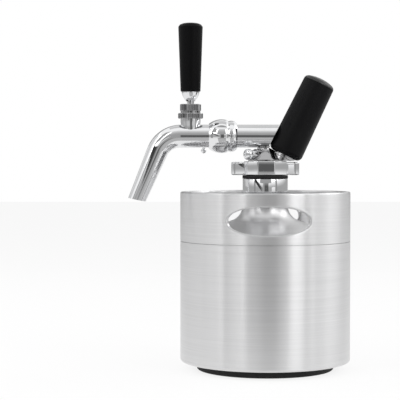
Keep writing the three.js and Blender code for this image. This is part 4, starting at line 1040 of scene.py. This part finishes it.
def knurl(piece, low, high, radius, ridges, depth):
    """Push every second column of a rim inwards, so that ridges stand between."""
    select_only(piece)
    spacing = math.pi / ridges
    for vertex in piece.data.vertices:
        place = vertex.co / MM
        column = round(math.atan2(place.y, place.x) / spacing)
        on_rim = low < place.z < high and math.hypot(place.x, place.y) > radius - TOUCHING
        vertex.select = on_rim and column % 2 == 0
    for part in list(piece.data.edges) + list(piece.data.polygons):
        part.select = False
    bpy.ops.object.mode_set(mode="EDIT")
    shrink = (radius - depth) / radius
    bpy.ops.transform.resize(value=(shrink, shrink, 1), center_override=(0, 0, 0))
    leave_edit()


bonnet_outline = [
    (10.2, 271.4), (12.9, 271.4), (COLLAR_RADIUS, 272), (COLLAR_RADIUS, 276.7), (12.9, 277.3),
    (10.7, 277.3), (10.7, 279.5), (10.8, 279.5), (CAP_RADIUS, 280.1), (CAP_RADIUS, 286.5),
    (10.8, BONNET_TOP), (0, BONNET_TOP), (0, 282.225), (8.7, 282.225), (8.7, 277), (10.2, 277),
]
bonnet = turn("lever_bonnet", bonnet_outline, 2 * BONNET_RIDGES)
knurl(bonnet, 271.9, 276.8, COLLAR_RADIUS, BONNET_RIDGES, 0.55)
knurl(bonnet, 280, 286.6, CAP_RADIUS, BONNET_RIDGES, 0.45)
lay(bonnet, LEVER)

# %% Cut the slot that the lever swings in
PIVOT = 276
SWING = math.radians(22)
SHAFT_RADIUS = 3.8
SLOT_PLAY = 0.3
SLOT_LOW, SLOT_MIDDLE, SLOT_HEIGHT = 278.3, 284.6, 12.6

swung = (BONNET_TOP - PIVOT) * math.tan(SWING)
slot_radius = SHAFT_RADIUS / math.cos(SWING) + SLOT_PLAY
for x in (LEVER_X, LEVER_X - swung):
    bore(bonnet, slot_radius, SLOT_LOW, 291, place_at(x), 48)
between = place_at(LEVER_X - swung / 2, 0, SLOT_MIDDLE)
combine(bonnet, box((swung, 2 * slot_radius, SLOT_HEIGHT), between), "DIFFERENCE")
finish(bonnet, cast_steel, HEAD, "bonnet", CAST_CREASE)

# %% Turn the lever with its ball and its tip
BALL = 7
ARM_RADIUS = 2.2
TIP_BALL = 2.9
LEVER_TOP = 317.6

shaft_foot = PIVOT + math.sqrt(BALL**2 - SHAFT_RADIUS**2)
arm_top = PIVOT - math.sqrt(BALL**2 - ARM_RADIUS**2)
ball_low = math.degrees(math.asin(ARM_RADIUS / BALL)) - 90
ball_high = 90 - math.degrees(math.asin(SHAFT_RADIUS / BALL))
tip_high = 90 - math.degrees(math.asin(ARM_RADIUS / TIP_BALL))
lever_outline = (
    [(0, TAP_HEIGHT - TIP_BALL)]
    + arc(0, TAP_HEIGHT, TIP_BALL, -90, tip_high, 12)[1:]
    + [(ARM_RADIUS, arm_top)]
    + arc(0, PIVOT, BALL, ball_low, ball_high, 20)[1:-1]
    + [(SHAFT_RADIUS, shaft_foot), (SHAFT_RADIUS, 295.2), (3.3, 295.2)]
    + [(3.3, LEVER_TOP), (0, LEVER_TOP)]
)
make("lever_shaft", lever_outline, 64, LEVER, chrome, "lever", "chrome", "tap_lever")

# %% Turn the ferrule, the insert and the handle
HANDLE_LOW = 300.6
ferrule_side = fair_curve([(4.4, 290), (6, 291.8), (8, 295), (9.3, 298.4), (9.6, 300)])
ferrule_outline = [(4.1, 290)] + ferrule_side + [(9.6, 300.3), (4.1, 300.3)]
make("handle_ferrule", ferrule_outline, 96, LEVER, chrome, "lever", "chrome", "ferrule")

insert_outline = [(3.6, HANDLE_LOW), (5.4, HANDLE_LOW), (5.4, LEVER_TOP), (3.6, LEVER_TOP)]
brass_insert = (insert_brass, "lever", "insert_brass", "handle_insert")
make("insert", insert_outline, 48, LEVER, *brass_insert, edge=0.2)

crown = fair_curve([(12.7, 371.3), (10.9, 373.1), (6.6, 374.45), (0, 374.9)])
handle_outline = (
    [(5.7, HANDLE_LOW), (9.9, HANDLE_LOW)]
    + arc(9.9, 301.5, 0.9, -90, 0, 5)[1:]
    + [(13.25, 370.4)]
    + crown
    + [(0, 317.9), (5.7, 317.9)]
)
make("handle", handle_outline, 112, LEVER, handle_black, "lever", "handle_black", "tap_handle")

# %% [markdown]
# ## Flow control and relief valve
#
# A small lever on the faucet's far side turns a vane in the waterway. The
# relief valve stands out of the head's boss, and its knob is pulled to let gas
# out.

# %% Make the flow lever
LEAN = place_at(FLOW_X, 15.75, TAP_HEIGHT, (4, "Y"))

hub_outline = [(0, 14.15), (2.9, 14.15), (3.3, 14.5), (3.3, 17), (2.9, 17.35), (0, 17.35)]
flow_hub = lay(turn("flow_handle", hub_outline, 48), TO_THE_BACK)
arm_outline = arc(0, -15.7, 2.9, -90, 58, 14)
arm_outline += [(1.5, -12.6), (1.35, -9), (1.5, -4), (1.6, 0), (0, 0)]
combine(flow_hub, lay(turn("flow_arm", arm_outline, 40), LEAN))
bore(flow_hub, FLOW_ROOM, 10, 16.58, TO_THE_BACK, 40)
finish(flow_hub, chrome, "flow_control", "flow_lever", CUT_CREASE)

# %% Turn the relief valve's barrel and knob
PIN_ROOM = 1.4
barrel_outline = [(3.1, 9.9), (4.6, 9.9), (4.6, 21.6), (4.3, 21.9)]
barrel_outline += [(PIN_ROOM, 21.9), (PIN_ROOM, 20.3), (3.1, 20.3)]
make("relief_tube", barrel_outline, 56, RELIEF, chrome, HEAD, "chrome", "relief_barrel")
knob_outline = (
    [(PIN_ROOM, 22.2), (4.7, 22.2), (5.5, 22.6), (5.8, 23.2)]
    + fair_curve([(5.8, 25.7), (5.3, 27.1), (3.4, 28.2), (0, 28.6)], 5)
    + [(0, 25.7), (PIN_ROOM, 25.7)]
)
make("relief_pull_knob", knob_outline, 64, RELIEF, chrome, "relief_pull", "chrome", "relief_knob")

# %% Wind the relief valve's spring; on the real valve it closes up when the knob is pulled
SPRING_LOW, SPRING_HIGH = 12.4, 20
SPRING_RADIUS, SPRING_WIRE, SPRING_TURNS = 2.1, 0.32, 5
TURN_STEPS = 24

rise = SPRING_HIGH - SPRING_LOW - 2 * SPRING_WIRE
winding = []
for number in range(SPRING_TURNS * TURN_STEPS + 1):
    angle = 2 * math.pi * number / TURN_STEPS
    height = SPRING_LOW + SPRING_WIRE + rise * number / (SPRING_TURNS * TURN_STEPS)
    x, y = SPRING_RADIUS * math.cos(angle), SPRING_RADIUS * math.sin(angle)
    winding.append((x, y, height, SPRING_WIRE))
coil = lay(wire("relief_coil", winding, 3), RELIEF)
finish(coil, turned_steel, HEAD, "relief_spring")
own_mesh(coil)

# %% [markdown]
# ## The gas charger
#
# The black sleeve slips over an aluminium cup that screws down on the stub and
# presses a small gas cartridge on the piercing pin. All four are drawn along
# the charger's own axis, then leant over together. The sleeve's cap has a
# little more real shine than its side, and its upward faces also get a lighter black as a painted
# highlight.

# %% Turn the sleeve, and give its cap a glossier finish with a painted highlight
CAP_LOW = 85.6
HIGHLIGHT_FACING_UP = 0.1

dome_side = fair_curve(
    [(17.3, 85), (16.7, 86.9), (15, 88.6), (12, 89.8), (6.5, 91), (0, 91.4)]
)
sleeve_outline = [(12.7, 0)] + arc(12.7, 6.2, 6.2, -90, 0, 12)[1:] + dome_side
sleeve_outline += [(0, 82.5), (14.6, 82.5), (14.6, 2.4), (12.7, 2.4)]
sleeve = turn("charger_shell", sleeve_outline, 128)
# The cap's upward faces, which get the lighter black: a painted highlight.
painted_highlight_faces = [
    face.center.z > CAP_LOW * MM and face.normal.z > HIGHLIGHT_FACING_UP for face in sleeve.data.polygons
]
finish(lay(sleeve, CHARGER), sleeve_black, "charger_holder", "charger_sleeve")
# The cap's upward faces take the second material, the painted highlight.
sleeve.data.materials.append(cap_black_painted_highlight)
for face, highlighted in zip(sleeve.data.polygons, painted_highlight_faces):
    face.material_index = int(highlighted)

# %% Turn the cup, the cartridge, the piercing pin and its seal
cup_outline = [(12.4, 2.7), (14.3, 2.7), (14.3, 72.2), (12.8, 73.7), (0, 73.7)]
cup_outline += [(0, 70.7), (9.9, 70.7), (9.9, 15.6), (12.4, 13.1)]
cup_finish = (cup_aluminium, "charger_holder", "cup_aluminium", "charger_cup")
make("charger_can", cup_outline, 96, CHARGER, *cup_finish, edge=0.3)

cartridge_outline = (
    [(1.3, 4.4), (4, 4.4), (4.3, 4.7)]
    + fair_curve([(4.3, 9.9), (5.2, 11.2), (7.6, 13.8), (9, 16.4), (9.3, 18.6)], 5)
    + fair_curve([(9.3, 64.6), (8.6, 67.4), (6.4, 69.6), (3.4, 70.35), (0, 70.4)], 5)
    + [(0, 69), (3.5, 69), (7.9, 63.2), (7.9, 17.9), (6.04, 14.3), (1.3, 11.5)]
)
gas_finish = (cartridge_silver, "cartridge", "cartridge_steel", "gas_cartridge")
make("cartridge", cartridge_outline, 80, CHARGER, *gas_finish)

pin_outline = [(0.45, -0.9), (4.2, -0.9), (4.2, 2), (1, 2), (1, 7.5), (0.54, 8.5), (0.45, 8.5)]
make("pin", pin_outline, 40, CHARGER, turned_steel, HEAD, "inner_steel", "piercing_pin")
seal_outline = [(1.3, 2.3), (5.2, 2.3), (5.2, 4.1), (1.3, 4.1)]
rubber_seal = (rubber_black, HEAD, "rubber_black")
make("pin_washer", seal_outline, 40, CHARGER, *rubber_seal, "charger_seal", 0.2)

# %% [markdown]
# ## Inside the neck
#
# These pieces show when the head is lifted off: the plug with its gasket, the
# dip tube that reaches to the bottom, and the ring that seals the tube.

# %% Turn the plug and the dip tube
plug_outline = [
    (4.3, 208.3), (7.5, 208.3), (7.5, 214.8), (16.1, 214.8), (16.1, 220.8), (19.9, 220.8),
    (19.9, 223), (16.6, 223), (16.6, 225.3), (14, 225.3), (14, 224.2), (11.6, 224.2),
    (11.6, 225.3), (9, 225.3), (9, 231.3), (NARROW_WAY, 231.3), (NARROW_WAY, 222.6), (4.3, 222.6),
]
plug = turn("plug", plug_outline, edge=0.3)
bore(plug, 1.2, 210, 230, place_at(12.8), 24)
finish(plug, turned_steel, HEAD, "head_plug", CUT_CREASE)

tube = turn("tube", [(3, 13.4), (4, 13.4), (4, 222.3), (3, 222.3)], 48)
slice_off(tube, 0, 18.9, math.atan2(3, 8), False)
bpy.ops.mesh.bridge_edge_loops()
leave_edit()
finish(tube, turned_steel, HEAD, "dip_tube", CUT_CREASE)

# %% Turn the two seals
gasket_outline = [(16.7, 218.8), (19.6, 218.8), (19.6, 220.5), (16.7, 220.5)]
make("gasket", gasket_outline, 80, MIDDLE, *rubber_seal, "mouth_gasket", 0.3)
make("tube_ring", arc(5.1, 207.2, 0.8, 0, 330, 11), 40, MIDDLE, *rubber_seal, "dip_tube_oring")

# %% [markdown]
# Some pieces stay hidden in every pose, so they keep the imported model's own
# shapes. Each still gets its real finish.

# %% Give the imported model's inner pieces their finishes
steel = ("valve_seat", "restrictor_disc", "valve_stem", "flow_shaft", "relief_pin")
rubber = ("coupling_washer", "valve_seal", "relief_seal")
nylon = ("ball_washer", "friction_washer")
for material, names in ((turned_steel, steel), (rubber_black, rubber), (washer_nylon, nylon)):
    for name in names:
        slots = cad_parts[name].data.materials
        slots.clear()
        slots.append(material)
print(len(made), "new pieces,", len(steel + rubber + nylon), "kept")

# %% [markdown]
# ## The studio
#
# A polished object is lit by what it mirrors. The room here is white. Dark and
# grey cards stand round the object, as a product photographer would place
# them. The camera, the floor and soft light don't see them, and only mirrors
# do. The wide grey card in front gives the keg its darker middle. The narrow
# dark one draws the line along the tap, and the slanted one fills the spout's
# dark core. The cards behind show in the shoulder and at the spout's edge. The
# floor is white and keeps a soft shadow.

# %% Materials and planes for the studio
MATT, LITTLE_SHINE = 0.9, 0.1


def plain_material(name, colour):
    material = bpy.data.materials.new(name)
    material.use_nodes = True
    shader = material.node_tree.nodes["Principled BSDF"].inputs
    shader["Base Color"].default_value = (*colour, 1)
    shader["Roughness"].default_value = MATT
    shader["Specular IOR Level"].default_value = LITTLE_SHINE
    return material, material.node_tree, shader


def seen_by_rays(tree):
    """1 for rays from the camera, off mirrors and through glass, 0 for the others."""
    camera_ray = add_node(tree, "LightPath", {}, "Is Camera Ray")
    rays = camera_ray.node.outputs
    first = math_node(tree, "MAXIMUM", camera_ray, rays["Is Glossy Ray"])
    return math_node(tree, "MAXIMUM", first, rays["Is Transmission Ray"])


def flat_plane(name, size, place, material):
    select_only()
    bpy.ops.mesh.primitive_plane_add(size=1)
    piece = bpy.context.active_object
    piece.name = name
    piece.data.transform(Matrix.Diagonal((*size, 1, 1)))
    lay(piece, place)
    piece.data.materials.append(material)
    piece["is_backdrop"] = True
    return piece


# %% A floor that glows for the camera, and still takes the shadow
FLOOR_SIDE = 12
UNDER = 0.0002
GLOW = 0.8

floor_white, tree, _ = plain_material("floor_white", (0.97, 0.97, 0.97))
glow_share = math_node(tree, "MULTIPLY", seen_by_rays(tree), GLOW)
glow = add_node(tree, "Emission", {"Strength": 1}, "Emission")
lit = tree.nodes["Principled BSDF"].outputs["BSDF"]
both = add_node(tree, "MixShader", {0: glow_share, 1: lit, 2: glow})
put(tree, tree.nodes["Material Output"].inputs["Surface"], both)
flat_plane("floor", (FLOOR_SIDE, FLOOR_SIDE), Matrix.Translation((0, 0, -UNDER)), floor_white)

# %% Grey papers that change along one measure
def graded_paper(name, measure, levels):
    """A glowing grey. The measure is x, y, z or the distance from the upright axis."""
    paper, tree, shader = plain_material(name, (0, 0, 0))
    place = add_node(tree, "TexCoord", {}, "Object")
    if measure == "distance":
        value = add_node(tree, "VectorMath", {0: place}, "Value", operation="LENGTH")
    else:
        value = add_node(tree, "SeparateXYZ", {0: place}, "xyz".index(measure))
    first, last = levels[0][0], levels[-1][0]
    share = ramp_node(tree, value, first, last, 0, 1)
    grey = add_node(tree, "ValToRGB", {"Fac": share}, "Color")
    stops = grey.node.color_ramp.elements
    for number, (at, level) in enumerate(levels):
        inside = 0 < number < len(levels) - 1
        stop = stops.new((at - first) / (last - first)) if inside else stops[-1 if number else 0]
        stop.color = (level, level, level, 1)
    put(tree, shader["Emission Color"], grey)
    shader["Emission Strength"].default_value = 1
    return paper


def only_mirrored(piece):
    piece.visible_camera = False
    piece.visible_diffuse = False
    piece.visible_shadow = False
    return piece


# %% Three kinds of card, seen only in the object's reflections
def card(name, azimuth, width, levels, distance=1.35):
    """A card that faces the object, at an angle from the camera to its right."""
    low, high = levels[0][0], levels[-1][0]
    turned = math.radians(azimuth)
    x, y = distance * math.sin(turned), -distance * math.cos(turned)
    place = (
        Matrix.Translation((x, y, (low + high) / 2))
        @ Matrix.Rotation(turned, 4, "Z")
        @ Matrix.Rotation(math.radians(90), 4, "X")
    )
    size = (2 * distance * math.tan(math.radians(width / 2)), high - low)
    only_mirrored(flat_plane(name, size, place, graded_paper(name + "_paper", "z", levels)))


def four_corner_card(name, measure, levels, corners):
    """A card through four corners, which may lie flat or slant."""
    paper = graded_paper(name + "_paper", measure, levels)
    piece = only_mirrored(flat_plane(name, (1, 1), Matrix.Identity(4), paper))
    for vertex, corner in zip(piece.data.vertices, corners):
        vertex.co = corner


def level_card(name, measure, levels, corners, height):
    """A card that lies flat, over the object or on the floor."""
    four_corner_card(name, measure, levels, [(*corner, height) for corner in corners])


# %% Set the cards up: each level is a height or place in metres, with its grey
front_levels = [(0, 0.36), (0.6, 0.36), (0.92, 0.4), (1.25, 0.5), (1.7, 0.65), (2.6, 0.9)]
card("card_front", 0, 58, front_levels)
card("card_middle", 4, 20, [(0, 0.2), (0.07, 0.1), (0.42, 0.1), (0.56, 0.32)], 1.3)
card("card_back", 198, 53, [(0.3, 0.3), (1.1, 0.35), (1.6, 0.7)])
card("card_high_left", -52, 28, [(0.78, 0.36), (1.7, 0.36), (2.1, 0.6)], 1.2)
card("card_low_right", 40, 18, [(0, 0.6), (0.2, 0.72), (0.36, 1)], 1.3)
card("card_side_left", 250, 42, [(0.3, 0.65), (1.6, 0.75)])
card("card_left", -57, 9, [(0, 0.3), (0.6, 0.3), (1.6, 0.9)])
card("card_right", 56, 9, [(0, 0.3), (0.6, 0.3), (1.6, 0.9)])
level_card(
    "card_floor",
    "distance",
    [(0, 0.9), (0.7, 0.9), (1.3, 0.8)],
    [(-1.3, -1.3), (1.3, -1.3), (-1.3, 1.3), (1.3, 1.3)],
    UNDER,
)
level_card(
    "card_floor_front",
    "y",
    [(-1.34, 0.33), (-1, 0.36), (-0.7, 0.48), (-0.25, 0.48)],
    [(-0.65, -1.34), (0.75, -1.34), (-0.14, -0.25), (0.15, -0.25)],
    2 * UNDER,
)
four_corner_card(
    "card_slanted",
    "x",
    [(-1.2, 0.03), (-0.6, 0.05), (-0.33, 0.33)],
    [(-1.122, -0.67, 0.747), (-0.329, -1.28, 0.301)]
    + [(-1.196, -0.67, 0.617), (-0.403, -1.28, 0.171)],
)
level_card(
    "card_ceiling",
    "y",
    [(0.05, 0.6), (1.1, 0.7)],
    [(-0.6, 0.05), (0.6, 0.05), (-0.6, 1.1), (0.6, 1.1)],
    1.6,
)

# %% A grey belt all the way round
BELT_RADIUS, BELT_HEIGHT = 1.39, 0.56
BELT_LEVELS = [(0, 0.9), (0.12, 0.55), (0.2, 0.4), (0.36, 0.4), (0.44, 0.6), (BELT_HEIGHT, 1)]
select_only()
bpy.ops.mesh.primitive_cylinder_add(
    vertices=96,
    radius=BELT_RADIUS,
    depth=BELT_HEIGHT,
    location=(0, 0, BELT_HEIGHT / 2),
    end_fill_type="NOTHING",
)
belt = bpy.context.active_object
belt.name = "card_belt"
lay(belt, belt.matrix_world.copy())
belt.data.materials.append(graded_paper("card_belt_paper", "z", BELT_LEVELS))
only_mirrored(belt)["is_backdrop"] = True

# %% White room and soft lamps
DIM_ROOM = 0.7
world = bpy.data.worlds.new("room")
scene.world = world
world.use_nodes = True
tree = world.node_tree
background = tree.nodes["Background"].inputs
background["Color"].default_value = (1, 1, 1, 1)
put(tree, background["Strength"], ramp_node(tree, seen_by_rays(tree), 0, 1, DIM_ROOM, 1))


def soft_lamp(name, location, aim_height, size, power):
    lamp = bpy.data.lights.new(name, "AREA")
    lamp.shape = "RECTANGLE"
    lamp.size, lamp.size_y = size
    lamp.energy = power
    piece = bpy.data.objects.new(name, lamp)
    piece.location = location
    aim = Vector((0, 0, aim_height)) - Vector(location)
    piece.rotation_euler = aim.to_track_quat("-Z", "Y").to_euler()
    scene.collection.objects.link(piece)


soft_lamp("lamp_left", (-1.25, -1.05, 1.25), 0.15, (1.2, 1.1), 6.5)
soft_lamp("lamp_right", (1.25, -1.05, 1.25), 0.15, (1.2, 1.1), 6.5)
soft_lamp("lamp_back_left", (-1.55, 0.5, 1.2), 0.2, (1.1, 1.1), 5)
soft_lamp("lamp_back_right", (1.55, 0.5, 1.2), 0.2, (1.1, 1.1), 5)
print("lamps:", len(bpy.data.lights))

# %% [markdown]
# ## Print the sizes
#
# The dressed model should keep the imported model's size, so both boxes are
# printed.

# %% Print both boxes
dressed_box = [list(corner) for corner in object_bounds()]
for label, corners in (("packed", cad_box), ("dressed", dressed_box)):
    print(label, [[round(value / MM, 2) for value in corner] for corner in corners])
